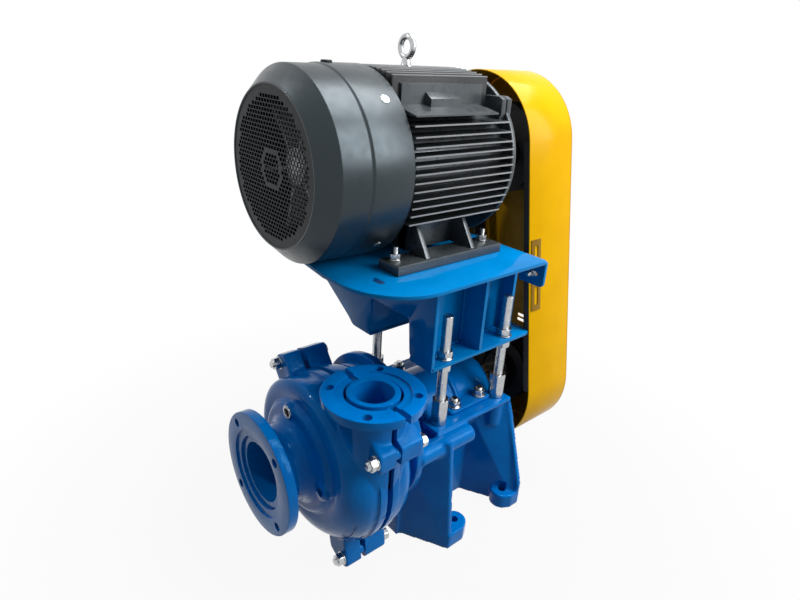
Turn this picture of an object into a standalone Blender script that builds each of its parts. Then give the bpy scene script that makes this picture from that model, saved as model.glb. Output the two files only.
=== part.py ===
# Slurry pump set: a split casing centrifugal pump with its electric motor on a stand above,
# joined by V belts under a guard. Metres, +Z up. The pump shaft lies along Y, the suction
# flange faces -Y and the belt drive is at the +Y end.

import math

import bpy
import bmesh
from mathutils import Matrix, Vector

# Clearances that every fit uses
SEAT = 0.0003
RUNNING_GAP = 0.0020
OVERRUN = 0.0100
SINK = 0.0020

# Points closer than this are one point, and faces within this angle in degrees are flat
STRAY = 0.00001
FLAT_ANGLE = 0.2
SMOOTH_ANGLE = 35

# Facets around large, middle and small round pieces
LARGE_FACETS = 20
MIDDLE_FACETS = 14
SMALL_FACETS = 8
ROD_FACETS = 8
HEX_SIDES = 6

# Shaft lines
SHAFT_HEIGHT = 0.2540
MOTOR_OFFSET = 0.0873

# Pump casing, split across the shaft
CASING_RADIUS = 0.1790
CASING_RIM_RADIUS = 0.1850
CASING_RIM_WIDTH = 0.0170
CASING_WALL = 0.0130
CASING_SHIFT_X = 0.0113
CASING_DROP = 0.0196
CASING_FRONT = 0.0950
CASING_SHOULDER = 0.0330
PARTING_MIDDLE = 0.1782
PARTING_GAP = 0.0130
CASING_BACK = 0.2560
FRAME_SPIGOT_RADIUS = 0.1500
FRONT_RING_RADIUS = 0.1220
DOME_RADIUS = 0.1680
DOME_FRONT = 0.0935
DOME_CORNER = 0.0150
DOME_BACK = 0.1300
FRONT_RING_RISE = 0.0120
FRONT_RING_SLOPE = 0.0080

# Casing lugs and their bolts
LUG_CIRCLE = 0.2203
LUG_ANGLES = (31.1, 134.5, 214.7, 294.9)
LUG_END_WIDTH = 0.0380
LUG_ROOT_WIDTH = 0.0840
LUG_REACH = 0.0160
LUG_FRONT_DEPTH = 0.0330
LUG_BACK_DEPTH = 0.0480
LUG_ROOT = 0.0700
CASING_BOLT_RADIUS = 0.0080
CASING_NUT_ACROSS = 0.0240
CASING_NUT_HEIGHT = 0.0130
CASING_BOLT_TAIL = 0.0075

# Suction side
SUCTION_FLANGE_RADIUS = 0.1255
SUCTION_FLANGE_THICKNESS = 0.0200
SUCTION_NECK_RADIUS = 0.0880
SUCTION_BORE_RADIUS = 0.0613
SUCTION_LINER_RADIUS = 0.0743
SUCTION_GROOVE_RADIUS = 0.0900
SUCTION_GROOVE_DEPTH = 0.0040
SUCTION_BOLT_CIRCLE = 0.1070
FLANGE_HOLE_RADIUS = 0.0090

# Two small plugged bosses on the front ring
BOSS_ANGLES = (99.8, -8.7)
BOSS_CIRCLE = 0.1035
BOSS_RADIUS = 0.0130
BOSS_HOLE_RADIUS = 0.0070
BOSS_RISE = 0.0040
BOSS_DEPTH = 0.0200

# Discharge side
DISCHARGE_X = 0.1313
DISCHARGE_TOP = 0.4460
DISCHARGE_FLANGE_RADIUS = 0.0993
DISCHARGE_FLANGE_THICKNESS = 0.0180
DISCHARGE_NECK_RADIUS = 0.0660
DISCHARGE_ROOT_RADIUS = 0.0560
DISCHARGE_LINER_RADIUS = 0.0510
DISCHARGE_LINER_GAP = 0.0050
DISCHARGE_BORE_RADIUS = 0.0394
DISCHARGE_BOLT_CIRCLE = 0.0831
DISCHARGE_GROOVE_RADIUS = 0.0720
DISCHARGE_GROOVE_DEPTH = 0.0030

# Wet end inside the casing
LINER_WALL = 0.0140
THROAT_RECESS = 0.0095
THROAT_FLANGE_RADIUS = 0.1115
THROAT_FLANGE_THICKNESS = 0.0300
INSERT_THICKNESS = 0.0220
VOLUTE_START_RADIUS = 0.1200
VOLUTE_END_RADIUS = 0.1500
VOLUTE_START_ANGLE = 40.0
VOLUTE_TURN = 320.0
IMPELLER_RADIUS = 0.1100
IMPELLER_SHROUD = 0.0080
IMPELLER_EYE_RADIUS = 0.0570
IMPELLER_HUB_RADIUS = 0.0360
IMPELLER_HUB_NOSE = 0.0180
VANE_COUNT = 5
VANE_THICKNESS = 0.0100
VANE_WRAP = 95.0

# Shaft, sleeve and shaft seal
SHAFT_NOSE_RADIUS = 0.0200
SHAFT_SLEEVE_SEAT_RADIUS = 0.0260
SHAFT_BODY_RADIUS = 0.0320
SHAFT_BEARING_RADIUS = 0.0300
SHAFT_PULLEY_RADIUS = 0.0240
SLEEVE_WALL = 0.0060
SLEEVE_LENGTH = 0.1150
BOX_RADIUS = 0.0700
BOX_BORE_RADIUS = 0.0460
BOX_LENGTH = 0.0640
PACKING_LENGTH = 0.0400
GLAND_NOSE_LENGTH = 0.0120
GLAND_PLATE_THICKNESS = 0.0110
GLAND_HALF_WIDTH = 0.0640
GLAND_EAR_RADIUS = 0.0150
GLAND_STUD_RADIUS = 0.0060

# Base frame
BASE_FLANGE_RADIUS = 0.1680
BASE_FLANGE_FRONT = 0.2700
BASE_FLANGE_THICKNESS = 0.0200
BASE_WALL = 0.0120
FOOT_OUTER_X = 0.2030
FRONT_FOOT_Y = 0.3540
REAR_FOOT_Y = 0.5870
WEB_TOP_FRONT_X = 0.1780
WEB_TOP_REAR_X = 0.1370
REAR_WEB_KNEE_HEIGHT = 0.0620
BASE_BODY_HALF_WIDTH = 0.0990
BASE_ARCH_HALF_WIDTH = 0.0640
BASE_ARCH_HEIGHT = 0.0420
BODY_BACK_HALF_WIDTH = 0.0780
REAR_WEB_INNER_Y = 0.5090
RAIL_TOP = 0.2830
RAIL_THICKNESS = 0.0100
RAIL_OUTER_X = 0.1420
RAIL_INNER_X = 0.0880
RAIL_FRONT = 0.3500
RAIL_BACK = 0.5920
RAIL_CORNER = 0.0120
PAD_HEIGHT = 0.0387
PAD_RADIUS = 0.0280
PAD_HOLE_RADIUS = 0.0095
PAD_HOLE_X = 0.1712
FRONT_HOLE_Y = 0.4000
REAR_HOLE_Y = 0.5680
TUBE_X = 0.1500
TUBE_Z = 0.2540
TUBE_RADIUS = 0.0220
TUBE_BACK = 0.4400
STUD_BOSS_RADIUS = 0.0220
STUD_BOSS_DEPTH = 0.0760
SADDLE_WALL = 0.0120
SADDLE_FRONT = 0.3560

# Bearing housing
HOUSING_RADIUS = 0.0850
HOUSING_BORE_RADIUS = 0.0560
HOUSING_FRONT = 0.3600
HOUSING_BACK = 0.5800
HOUSING_LUG_X = 0.1160
HOUSING_LUG_FRONT = 0.4150
HOUSING_LUG_BACK = 0.5460
HOUSING_LUG_THICKNESS = 0.0100
HOUSING_RIB_HEIGHT = 0.0060
HOUSING_RIB_WIDTH = 0.0100
COVER_RADIUS = 0.0780
COVER_THICKNESS = 0.0120
COVER_SPIGOT = 0.0080
BEARING_WIDTH = 0.0300
CLAMP_X = 0.0985
CLAMP_FRONT_Y = 0.4400
CLAMP_BACK_Y = 0.5210
CLAMP_RADIUS = 0.0080
CLAMP_WASHER_RADIUS = 0.0170
CLAMP_WASHER_THICKNESS = 0.0030
CLAMP_NUT_ACROSS = 0.0240
CLAMP_NUT_HEIGHT = 0.0130
CLAMP_TAIL = 0.0060

# Hexagonal stand-offs and the studs that carry the motor stand
STUD_X = 0.1120
STUD_FRONT_Y = 0.3790
STUD_BACK_Y = 0.5660
STUD_RADIUS = 0.0100
STUD_TOP = 0.5420
STUD_NUT_ACROSS = 0.0300
STUD_NUT_HEIGHT = 0.0160
STANDOFF_ACROSS = 0.0340
STANDOFF_TOP = 0.3450
STANDOFF_THREAD = 0.0300

# Motor stand, welded from plate
STAND_PLATE = 0.0080
STAND_FRONT = 0.3210
STAND_LEG_FOOT = 0.4360
STAND_LEG_INNER_X = 0.0660
STAND_LEG_OUTER_X = 0.1340
STAND_LEG_CORNER = 0.0140
STAND_NOTCH_TOP = 0.5280
STAND_MIDDLE_RIB_Y = 0.4620
STAND_REAR_WEB_Y = 0.5860
STAND_REAR_WEB_X = 0.1060
STAND_FOOT_BACK = 0.6360
STAND_HANG_X = 0.2050
STAND_HANG_HEIGHT = 0.4845
STAND_WING_X = 0.3300
STAND_WING_DROP = 0.0680
PLATFORM_TOP = 0.6410
PLATFORM_THICKNESS = 0.0080
PLATFORM_LEFT = -0.3543
PLATFORM_RIGHT = 0.1840
PLATFORM_SLANT = 0.0320
PLATFORM_LEFT_RADIUS = 0.0800
PLATFORM_FRONT = 0.1510
PLATFORM_BACK = 0.5880
PLATFORM_FRONT_RADIUS = 0.1300
PLATFORM_BACK_RADIUS = 0.0120
PLATFORM_LIP = 0.0560
PLATFORM_LIP_LENGTH = 0.0620
LIP_SLOT_LENGTH = 0.0280
LIP_SLOT_WIDTH = 0.0110
PLATFORM_SLOT_X = 0.0820
PLATFORM_SLOT_Y = 0.2160
PLATFORM_SLOT_LENGTH = 0.0320
PLATFORM_SLOT_WIDTH = 0.0140

# Motor frame
MOTOR_SHELL_RADIUS = 0.1420
MOTOR_SHELL_WALL = 0.0120
MOTOR_FRONT = 0.2640
MOTOR_BACK = 0.5520
FIN_TIP = 0.1720
FIN_THICKNESS = 0.0036
FIN_FRONT = 0.2880
FIN_BACK = 0.5440
FIN_SIDE_COUNT = 12
FIN_SIDE_TOP = 0.0865
FIN_SIDE_BOTTOM = 0.0885
FIN_TOP_COUNT = 10
FIN_TOP_HALF_SPAN = 0.0975
FIN_TOP_TIP = 0.1740
FIN_TOP_DROP = 0.0085
FIN_ROOT_SHARE = 0.64
FOOT_CENTRE_Y = 0.4010
FOOT_LENGTH = 0.2840
FOOT_HALF_GAUGE = 0.1395
FOOT_HALF_PITCH = 0.1205
FOOT_HALF_WIDTH = 0.1760
FOOT_PAD_WIDTH = 0.0580
FOOT_THICKNESS = 0.0190
FOOT_RIB_THICKNESS = 0.0110
FOOT_RIB_SHARE = 0.27
RIB_FOOT_INSET = 0.0100
RIB_TOP_X = 0.1310
RIB_TOP_DROP = 0.1040
RIB_ROOT_X = 0.1000
RIB_ROOT_DROP = 0.0880
RIB_LOW_X = 0.0570
RIB_LOW_DROP = 0.1140
FOOT_NUT_ACROSS = 0.0190
FOOT_NUT_HEIGHT = 0.0100
FOOT_BOLT_RADIUS = 0.0060
FOOT_BOLT_TAIL = 0.0140
FOOT_WASHER_RADIUS = 0.0120
FOOT_WASHER_THICKNESS = 0.0025
PANEL_HIGH = 0.1510
PANEL_FRONT = 0.3030
PANEL_BACK = 0.5100
PANEL_REACH = 0.1060
LEDGE_ROOT = 0.0560
LEDGE_LOW = 0.1015
LEDGE_HIGH = 0.1045
LEDGE_BACK_HEIGHT = 0.1165
LEDGE_REACH = 0.1600
EYE_PAD_RADIUS = 0.0200

# Motor inside
STATOR_BORE_RADIUS = 0.0840
STATOR_LENGTH = 0.1900
ROTOR_RADIUS = 0.0800
ROTOR_LENGTH = 0.1900
MOTOR_SHAFT_BODY_RADIUS = 0.0300
MOTOR_SHAFT_BEARING_RADIUS = 0.0275
MOTOR_SHAFT_END_RADIUS = 0.0240
MOTOR_SHAFT_FAN_RADIUS = 0.0180
MOTOR_BEARING_RADIUS = 0.0550
MOTOR_BEARING_WIDTH = 0.0290
SHIELD_THICKNESS = 0.0160
DRIVE_SHIELD_RADIUS = 0.1680
SHIELD_HUB_RADIUS = 0.0720
SHIELD_HUB_LENGTH = 0.0340
SHIELD_SPIGOT = 0.0060

# Fan and cowl
COWL_RADIUS = 0.1776
COWL_CLEARANCE = 0.0024
COWL_WALL = 0.0030
COWL_GRILLE_RADIUS = 0.1445
COWL_FRONT = 0.1007
COWL_SHOULDER_Y = 0.1314
COWL_BEAD_Y = 0.1952
COWL_BEAD_RISE = 0.0020
COWL_BEAD_WIDTH = 0.0060
COWL_BACK = 0.2836
GRILLE_RADIUS = 0.1260
GRILLE_RING_OUTER = 0.0430
GRILLE_RING_INNER = 0.0300
GRILLE_PITCH = 0.0400
GRILLE_BAR = 0.0130
FAN_RADIUS = 0.1300
FAN_HUB_RADIUS = 0.0340
FAN_DISC_THICKNESS = 0.0060
FAN_BLADE_COUNT = 6
FAN_BLADE_THICKNESS = 0.0050
FAN_FRONT = 0.1500
FAN_BACK = 0.2100

# Terminal box on the far side, and the lifting eye
TERMINAL_REACH = 0.0560
TERMINAL_HALF_LENGTH = 0.0640
TERMINAL_HALF_HEIGHT = 0.0500
TERMINAL_CENTRE_Z = 0.0700
TERMINAL_WALL = 0.0060
TERMINAL_LID = 0.0080
EYE_CENTRE_RISE = 0.2110
EYE_RING_RADIUS = 0.0185
EYE_WIRE_RADIUS = 0.0055
EYE_COLLAR_RADIUS = 0.0150
EYE_COLLAR_HEIGHT = 0.0050
EYE_SHANK_RADIUS = 0.0070
EYE_SHANK_LENGTH = 0.0160

# Belt drive
PUMP_PULLEY_RADIUS = 0.0870
MOTOR_PULLEY_RADIUS = 0.1067
PULLEY_FRONT = 0.7180
PULLEY_WIDTH = 0.0520
GROOVE_DEPTH = 0.0130
GROOVE_HALF_TOP = 0.0058
GROOVE_HALF_BOTTOM = 0.0036
PULLEY_HUB_RADIUS = 0.0420
PULLEY_HUB_LENGTH = 0.0160
PULLEY_RECESS = 0.0120
PULLEY_RIM_WALL = 0.0150
BELT_COUNT = 3
BELT_PITCH = 0.0155
BELT_HEIGHT = 0.0080
BELT_PROUD = 0.0010

# Belt guard
GUARD_RADIUS = 0.1640
GUARD_SHEET = 0.0030
GUARD_FRONT = 0.6300
GUARD_BACK = 0.7826
GUARD_TOP_SHIFT = 0.0117
GUARD_TOP_RISE = 0.0115
GUARD_LOW_RISE = 0.0080
GUARD_NOTCH_DEPTH = 0.0480
GUARD_NOTCH_DROP = 0.1570
GUARD_NOTCH_RISE = 0.0140
VENT_SHARES = ((0, 0.80), (0, 0.72), (1, -1.00), (-1, -1.00), (1, 0.80), (-1, 0.80))
VENT_LENGTH = 0.0260
VENT_WIDTH = 0.0080
BRACKET_THICKNESS = 0.0040
BRACKET_SETBACK = 0.0070
BRACKET_SLOT_Y = 0.6600
BRACKET_SLOT_LENGTH = 0.0500
BRACKET_SLOT_WIDTH = 0.0100
BRACKET_TAB_WIDTH = 0.0340

# Derived places along the shaft
FRONT_PARTING = PARTING_MIDDLE - PARTING_GAP / 2
BACK_PARTING = PARTING_MIDDLE + PARTING_GAP / 2
MOTOR_HEIGHT = PLATFORM_TOP + COWL_RADIUS + COWL_CLEARANCE
GUARD_NOTCH_LOW = PLATFORM_TOP - GUARD_NOTCH_DROP
GUARD_NOTCH_HIGH = PLATFORM_TOP + GUARD_NOTCH_RISE
GUARD_TOP_X = MOTOR_OFFSET + GUARD_TOP_SHIFT
GUARD_TOP_Z = MOTOR_HEIGHT + GUARD_TOP_RISE
GUARD_LOW_Z = SHAFT_HEIGHT + GUARD_LOW_RISE
CASING_X = CASING_SHIFT_X
CASING_Z = SHAFT_HEIGHT - CASING_DROP
CAVITY_RADIUS = CASING_RADIUS - CASING_WALL
CAVITY_FRONT = CASING_FRONT + CASING_WALL
CAVITY_BACK = CASING_BACK - CASING_WALL
BOX_FRONT = CAVITY_BACK + SEAT
MOTOR_X = -MOTOR_OFFSET
SHAFT_END = PULLEY_FRONT + PULLEY_WIDTH


def clear_scene():
    """Remove what the scene holds."""
    for item in list(bpy.data.objects):
        bpy.data.objects.remove(item, do_unlink=True)


def make_material(name, colour, roughness, metallic):
    """One Principled material."""
    material = bpy.data.materials.new(name)
    material.use_nodes = True
    shader = material.node_tree.nodes["Principled BSDF"]
    shader.inputs["Base Color"].default_value = (*colour, 1.0)
    shader.inputs["Roughness"].default_value = roughness
    shader.inputs["Metallic"].default_value = metallic
    return material


def mesh_object(name, shape):
    """Turn a bmesh into an object with its faces pointing out."""
    bmesh.ops.recalc_face_normals(shape, faces=shape.faces)
    mesh = bpy.data.meshes.new(name)
    shape.to_mesh(mesh)
    shape.free()
    piece = bpy.data.objects.new(name, mesh)
    bpy.context.collection.objects.link(piece)
    return piece


def on_axis(axis, across, up, along):
    """A point from its two cross values and its place along an axis."""
    if axis == "X":
        return (along, across, up)
    if axis == "Y":
        return (across, along, up)
    return (across, up, along)


def turned(name, profile, axis, centre, facets=LARGE_FACETS):
    """Turn a closed profile of (radius, place along the axis) about an axis."""
    shape = bmesh.new()
    rings = []
    for radius, along in profile:
        if radius <= 0:
            rings.append([shape.verts.new(on_axis(axis, centre[0], centre[1], along))])
            continue
        ring = []
        for step in range(facets):
            angle = 2 * math.pi * step / facets
            across = centre[0] + radius * math.cos(angle)
            up = centre[1] + radius * math.sin(angle)
            ring.append(shape.verts.new(on_axis(axis, across, up, along)))
        rings.append(ring)
    for first, second in zip(rings, rings[1:] + rings[:1]):
        if len(first) == 1 and len(second) == 1:
            continue
        for step in range(facets):
            after = (step + 1) % facets
            if len(first) == 1:
                shape.faces.new((first[0], second[after], second[step]))
            elif len(second) == 1:
                shape.faces.new((first[step], first[after], second[0]))
            else:
                shape.faces.new((first[step], first[after], second[after], second[step]))
    return mesh_object(name, shape)


def prism(name, outline, axis, low, high):
    """Extrude a closed outline along an axis. The outline holds the two other coordinates."""
    shape = bmesh.new()
    ends = []
    for along in (low, high):
        ends.append([shape.verts.new(on_axis(axis, first, second, along)) for first, second in outline])
    shape.faces.new(ends[0])
    shape.faces.new(ends[1])
    count = len(outline)
    for step in range(count):
        after = (step + 1) % count
        shape.faces.new((ends[0][step], ends[0][after], ends[1][after], ends[1][step]))
    return mesh_object(name, shape)


def block(name, x_range, y_range, z_range):
    """A plain box between two corners."""
    outline = rectangle(x_range[0], x_range[1], y_range[0], y_range[1])
    return prism(name, outline, "Z", z_range[0], z_range[1])


def rectangle(left, right, low, high):
    """Corners of a rectangle, in order."""
    return [(left, low), (right, low), (right, high), (left, high)]


def arc(centre, radius, start, end, steps):
    """Points on an arc, angles in degrees, both ends included."""
    points = []
    for step in range(steps + 1):
        angle = math.radians(start + (end - start) * step / steps)
        points.append((centre[0] + radius * math.cos(angle), centre[1] + radius * math.sin(angle)))
    return points


def rounded_rectangle(left, right, low, high, radii, steps=4):
    """A rectangle with a radius at each corner, from low left round to high left."""
    places = ((left, low, 1, 1, 180), (right, low, -1, 1, 270), (right, high, -1, -1, 0),
              (left, high, 1, -1, 90))
    points = []
    for (x, z, to_x, to_z, start), radius in zip(places, radii):
        if radius <= 0:
            points.append((x, z))
            continue
        centre = (x + to_x * radius, z + to_z * radius)
        points.extend(arc(centre, radius, start, start + 90, steps))
    return points


def slot_outline(centre, length, width, upright=False, steps=4):
    """A slot with round ends."""
    half = (length - width) / 2
    if upright:
        first = arc((centre[0], centre[1] + half), width / 2, 0, 180, steps)
        return first + arc((centre[0], centre[1] - half), width / 2, 180, 360, steps)
    first = arc((centre[0] + half, centre[1]), width / 2, -90, 90, steps)
    return first + arc((centre[0] - half, centre[1]), width / 2, 90, 270, steps)


def rod(name, axis, centre, radius, low, high, facets=ROD_FACETS):
    """A round bar."""
    return turned(name, [(0, low), (radius, low), (radius, high), (0, high)], axis, centre, facets)


def hexagon(name, axis, centre, across, low, high):
    """A hexagonal bar, sized across its flats."""
    corner = across / math.sqrt(3)
    return turned(name, [(0, low), (corner, low), (corner, high), (0, high)], axis, centre, HEX_SIDES)


def cleaned(mesh):
    """Merge stray points and leave plain triangles, which the next Boolean step cuts reliably."""
    shape = bmesh.new()
    shape.from_mesh(mesh)
    bmesh.ops.remove_doubles(shape, verts=shape.verts, dist=STRAY)
    bmesh.ops.dissolve_degenerate(shape, edges=shape.edges, dist=STRAY)
    bmesh.ops.dissolve_limit(shape, angle_limit=math.radians(FLAT_ANGLE), verts=shape.verts,
                             edges=shape.edges)
    bmesh.ops.triangulate(shape, faces=shape.faces)
    shape.to_mesh(mesh)
    shape.free()
    return mesh


def shaped(piece, operation, tools):
    """Apply Boolean steps to a piece and remove the tools."""
    for tool in tools:
        tool.hide_render = True
        tool.display_type = "WIRE"
        step = piece.modifiers.new("step", "BOOLEAN")
        step.operation = operation
        step.solver = "EXACT"
        step.object = tool
        graph = bpy.context.evaluated_depsgraph_get()
        result = bpy.data.meshes.new_from_object(piece.evaluated_get(graph))
        piece.modifiers.clear()
        piece.data = cleaned(result)
        bpy.data.objects.remove(tool, do_unlink=True)
    return piece


def joined(piece, *tools):
    """The union of a piece and its tools."""
    return shaped(piece, "UNION", tools)


def cut(piece, *tools):
    """A piece with its tools taken away."""
    return shaped(piece, "DIFFERENCE", tools)


def polar(centre, radius, degrees):
    """A point at a radius and angle about a centre."""
    angle = math.radians(degrees)
    return (centre[0] + radius * math.cos(angle), centre[1] + radius * math.sin(angle))


def clear_bore(radius, facets, gap=SEAT):
    """Radius of a faceted bore whose flats clear a round piece by the gap."""
    return (radius + gap) / math.cos(math.pi / facets)


def seated_bore(radius, facets):
    """Radius of a faceted bore that sits on a piece with the same facets."""
    return radius + SEAT / math.cos(math.pi / facets)


def seated_plug(radius, facets):
    """Radius of a faceted piece that sits in a bore with the same facets."""
    return radius - SEAT / math.cos(math.pi / facets)


SHAFT_CENTRE = (0, SHAFT_HEIGHT)
CASING_CENTRE = (CASING_X, CASING_Z)
MOTOR_CENTRE = (MOTOR_X, MOTOR_HEIGHT)
DISCHARGE_CENTRE = (DISCHARGE_X, PARTING_MIDDLE)


def lug(degrees, low, high):
    """A casing lug: a block that points out from the casing and narrows to its end."""
    root = LUG_ROOT_WIDTH / 2
    end = LUG_END_WIDTH / 2
    outer = LUG_CIRCLE + LUG_REACH
    inner = LUG_CIRCLE - LUG_ROOT
    outline = [(inner, -root), (outer, -end), (outer, end), (inner, root)]
    angle = math.radians(degrees)
    turn = Matrix.Rotation(angle, 2)
    placed = []
    for point in outline:
        moved = turn @ Vector(point)
        placed.append((CASING_X + moved.x, CASING_Z + moved.y))
    return prism("lug", placed, "Y", low, high)


def lug_point(degrees):
    """Centre of a casing bolt."""
    return polar(CASING_CENTRE, LUG_CIRCLE, degrees)


def discharge_branch():
    """The upright discharge neck with its round flange, before it is split."""
    flange_low = DISCHARGE_TOP - DISCHARGE_FLANGE_THICKNESS
    profile = [(0, SHAFT_HEIGHT), (DISCHARGE_ROOT_RADIUS, SHAFT_HEIGHT),
               (DISCHARGE_NECK_RADIUS, flange_low - DISCHARGE_FLANGE_THICKNESS),
               (DISCHARGE_NECK_RADIUS + SINK, flange_low),
               (DISCHARGE_FLANGE_RADIUS, flange_low), (DISCHARGE_FLANGE_RADIUS, DISCHARGE_TOP),
               (0, DISCHARGE_TOP)]
    return turned("branch", profile, "Z", DISCHARGE_CENTRE)


def discharge_cutters():
    """Liner bore, face groove and bolt holes of the discharge flange."""
    bore = DISCHARGE_LINER_RADIUS + DISCHARGE_LINER_GAP
    cutters = [rod("bore", "Z", DISCHARGE_CENTRE, bore, SHAFT_HEIGHT, DISCHARGE_TOP + OVERRUN,
                   MIDDLE_FACETS)]
    groove_low = DISCHARGE_TOP - DISCHARGE_GROOVE_DEPTH
    cutters.append(rod("groove", "Z", DISCHARGE_CENTRE, DISCHARGE_GROOVE_RADIUS, groove_low,
                       DISCHARGE_TOP + OVERRUN, LARGE_FACETS))
    for quarter in range(4):
        centre = polar(DISCHARGE_CENTRE, DISCHARGE_BOLT_CIRCLE, 45 + 90 * quarter)
        low = DISCHARGE_TOP - DISCHARGE_FLANGE_THICKNESS - OVERRUN
        cutters.append(rod("hole", "Z", centre, FLANGE_HOLE_RADIUS, low, DISCHARGE_TOP + OVERRUN))
    return cutters


def half_space(low, high):
    """A large box across the whole casing, between two places along the shaft."""
    reach = LUG_CIRCLE + DISCHARGE_FLANGE_RADIUS + LUG_ROOT_WIDTH
    return block("space", (-reach, reach), (low, high), (-reach, DISCHARGE_TOP + reach))


def bolt_holes(low, high):
    """Holes for the four casing bolts."""
    radius = seated_bore(CASING_BOLT_RADIUS, ROD_FACETS)
    return [rod("hole", "Y", lug_point(degrees), radius, low - OVERRUN, high + OVERRUN)
            for degrees in LUG_ANGLES]


def make_cover_plate():
    """Suction half of the casing, with the suction flange and half of the discharge branch."""
    shoulder = CASING_RADIUS - CASING_WALL
    front = [(0, CASING_FRONT), (CASING_RADIUS - CASING_SHOULDER - CASING_WALL, CASING_FRONT),
             (shoulder, CASING_FRONT + CASING_WALL), (CASING_RADIUS, CASING_FRONT + CASING_SHOULDER),
             (CASING_RADIUS, FRONT_PARTING - CASING_RIM_WIDTH),
             (CASING_RIM_RADIUS, FRONT_PARTING - CASING_RIM_WIDTH),
             (CASING_RIM_RADIUS, FRONT_PARTING + OVERRUN), (0, FRONT_PARTING + OVERRUN)]
    piece = turned("cover_plate", front, "Y", CASING_CENTRE)
    ring_front = CASING_FRONT - FRONT_RING_RISE
    ring = [(0, ring_front), (FRONT_RING_RADIUS - FRONT_RING_SLOPE, ring_front),
            (FRONT_RING_RADIUS, ring_front + FRONT_RING_SLOPE), (FRONT_RING_RADIUS, CASING_FRONT + SINK),
            (0, CASING_FRONT + SINK)]
    waist = SUCTION_NECK_RADIUS
    flare = FRONT_RING_RISE
    neck = [(0, 0), (SUCTION_FLANGE_RADIUS, 0), (SUCTION_FLANGE_RADIUS, SUCTION_FLANGE_THICKNESS),
            (waist + FRONT_RING_SLOPE, SUCTION_FLANGE_THICKNESS),
            (waist, SUCTION_FLANGE_THICKNESS + FRONT_RING_SLOPE),
            (waist, ring_front - flare), (waist + FRONT_RING_SLOPE, ring_front + SINK),
            (0, ring_front + SINK)]
    lugs = [lug(degrees, FRONT_PARTING - LUG_FRONT_DEPTH, FRONT_PARTING + RUNNING_GAP)
            for degrees in LUG_ANGLES]
    bosses = []
    for degrees in BOSS_ANGLES:
        place = polar(SHAFT_CENTRE, BOSS_CIRCLE, degrees)
        bosses.append(rod("boss", "Y", place, BOSS_RADIUS, ring_front - BOSS_RISE, CASING_FRONT))
    corner = DOME_CORNER / 2
    dome = [(0, DOME_FRONT), (DOME_RADIUS - 2 * DOME_CORNER, DOME_FRONT),
            (DOME_RADIUS - corner, DOME_FRONT + corner),
            (DOME_RADIUS, DOME_FRONT + DOME_CORNER), (DOME_RADIUS, DOME_BACK),
            (DOME_RADIUS - DOME_CORNER, DOME_BACK + DOME_CORNER), (0, DOME_BACK + DOME_CORNER)]
    joined(piece, turned("dome", dome, "Y", SHAFT_CENTRE), turned("ring", ring, "Y", SHAFT_CENTRE),
           turned("neck", neck, "Y", SHAFT_CENTRE), discharge_branch(), *lugs, *bosses)
    fillet = CAVITY_FRONT + CASING_WALL
    cavity = [(0, CAVITY_FRONT), (CAVITY_RADIUS - CASING_WALL, CAVITY_FRONT), (CAVITY_RADIUS, fillet),
              (CAVITY_RADIUS, FRONT_PARTING + 2 * OVERRUN), (0, FRONT_PARTING + 2 * OVERRUN)]
    bore = seated_bore(SUCTION_LINER_RADIUS, LARGE_FACETS)
    cutters = [turned("cavity", cavity, "Y", CASING_CENTRE),
               rod("bore", "Y", SHAFT_CENTRE, bore, -OVERRUN, CAVITY_FRONT + SINK, LARGE_FACETS),
               rod("groove", "Y", SHAFT_CENTRE, SUCTION_GROOVE_RADIUS, -OVERRUN, SUCTION_GROOVE_DEPTH,
                   LARGE_FACETS)]
    for quarter in range(4):
        place = polar(SHAFT_CENTRE, SUCTION_BOLT_CIRCLE, 45 + 90 * quarter)
        cutters.append(rod("hole", "Y", place, FLANGE_HOLE_RADIUS, -OVERRUN,
                           SUCTION_FLANGE_THICKNESS + SINK))
    for degrees in BOSS_ANGLES:
        place = polar(SHAFT_CENTRE, BOSS_CIRCLE, degrees)
        deep = ring_front - BOSS_RISE + BOSS_DEPTH
        cutters.append(rod("drill", "Y", place, BOSS_HOLE_RADIUS, ring_front - BOSS_RISE - OVERRUN, deep))
    cutters += bolt_holes(FRONT_PARTING - LUG_FRONT_DEPTH, FRONT_PARTING)
    return cut(piece, half_space(FRONT_PARTING, FRONT_PARTING + LUG_CIRCLE), *cutters,
               *discharge_cutters())


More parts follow.
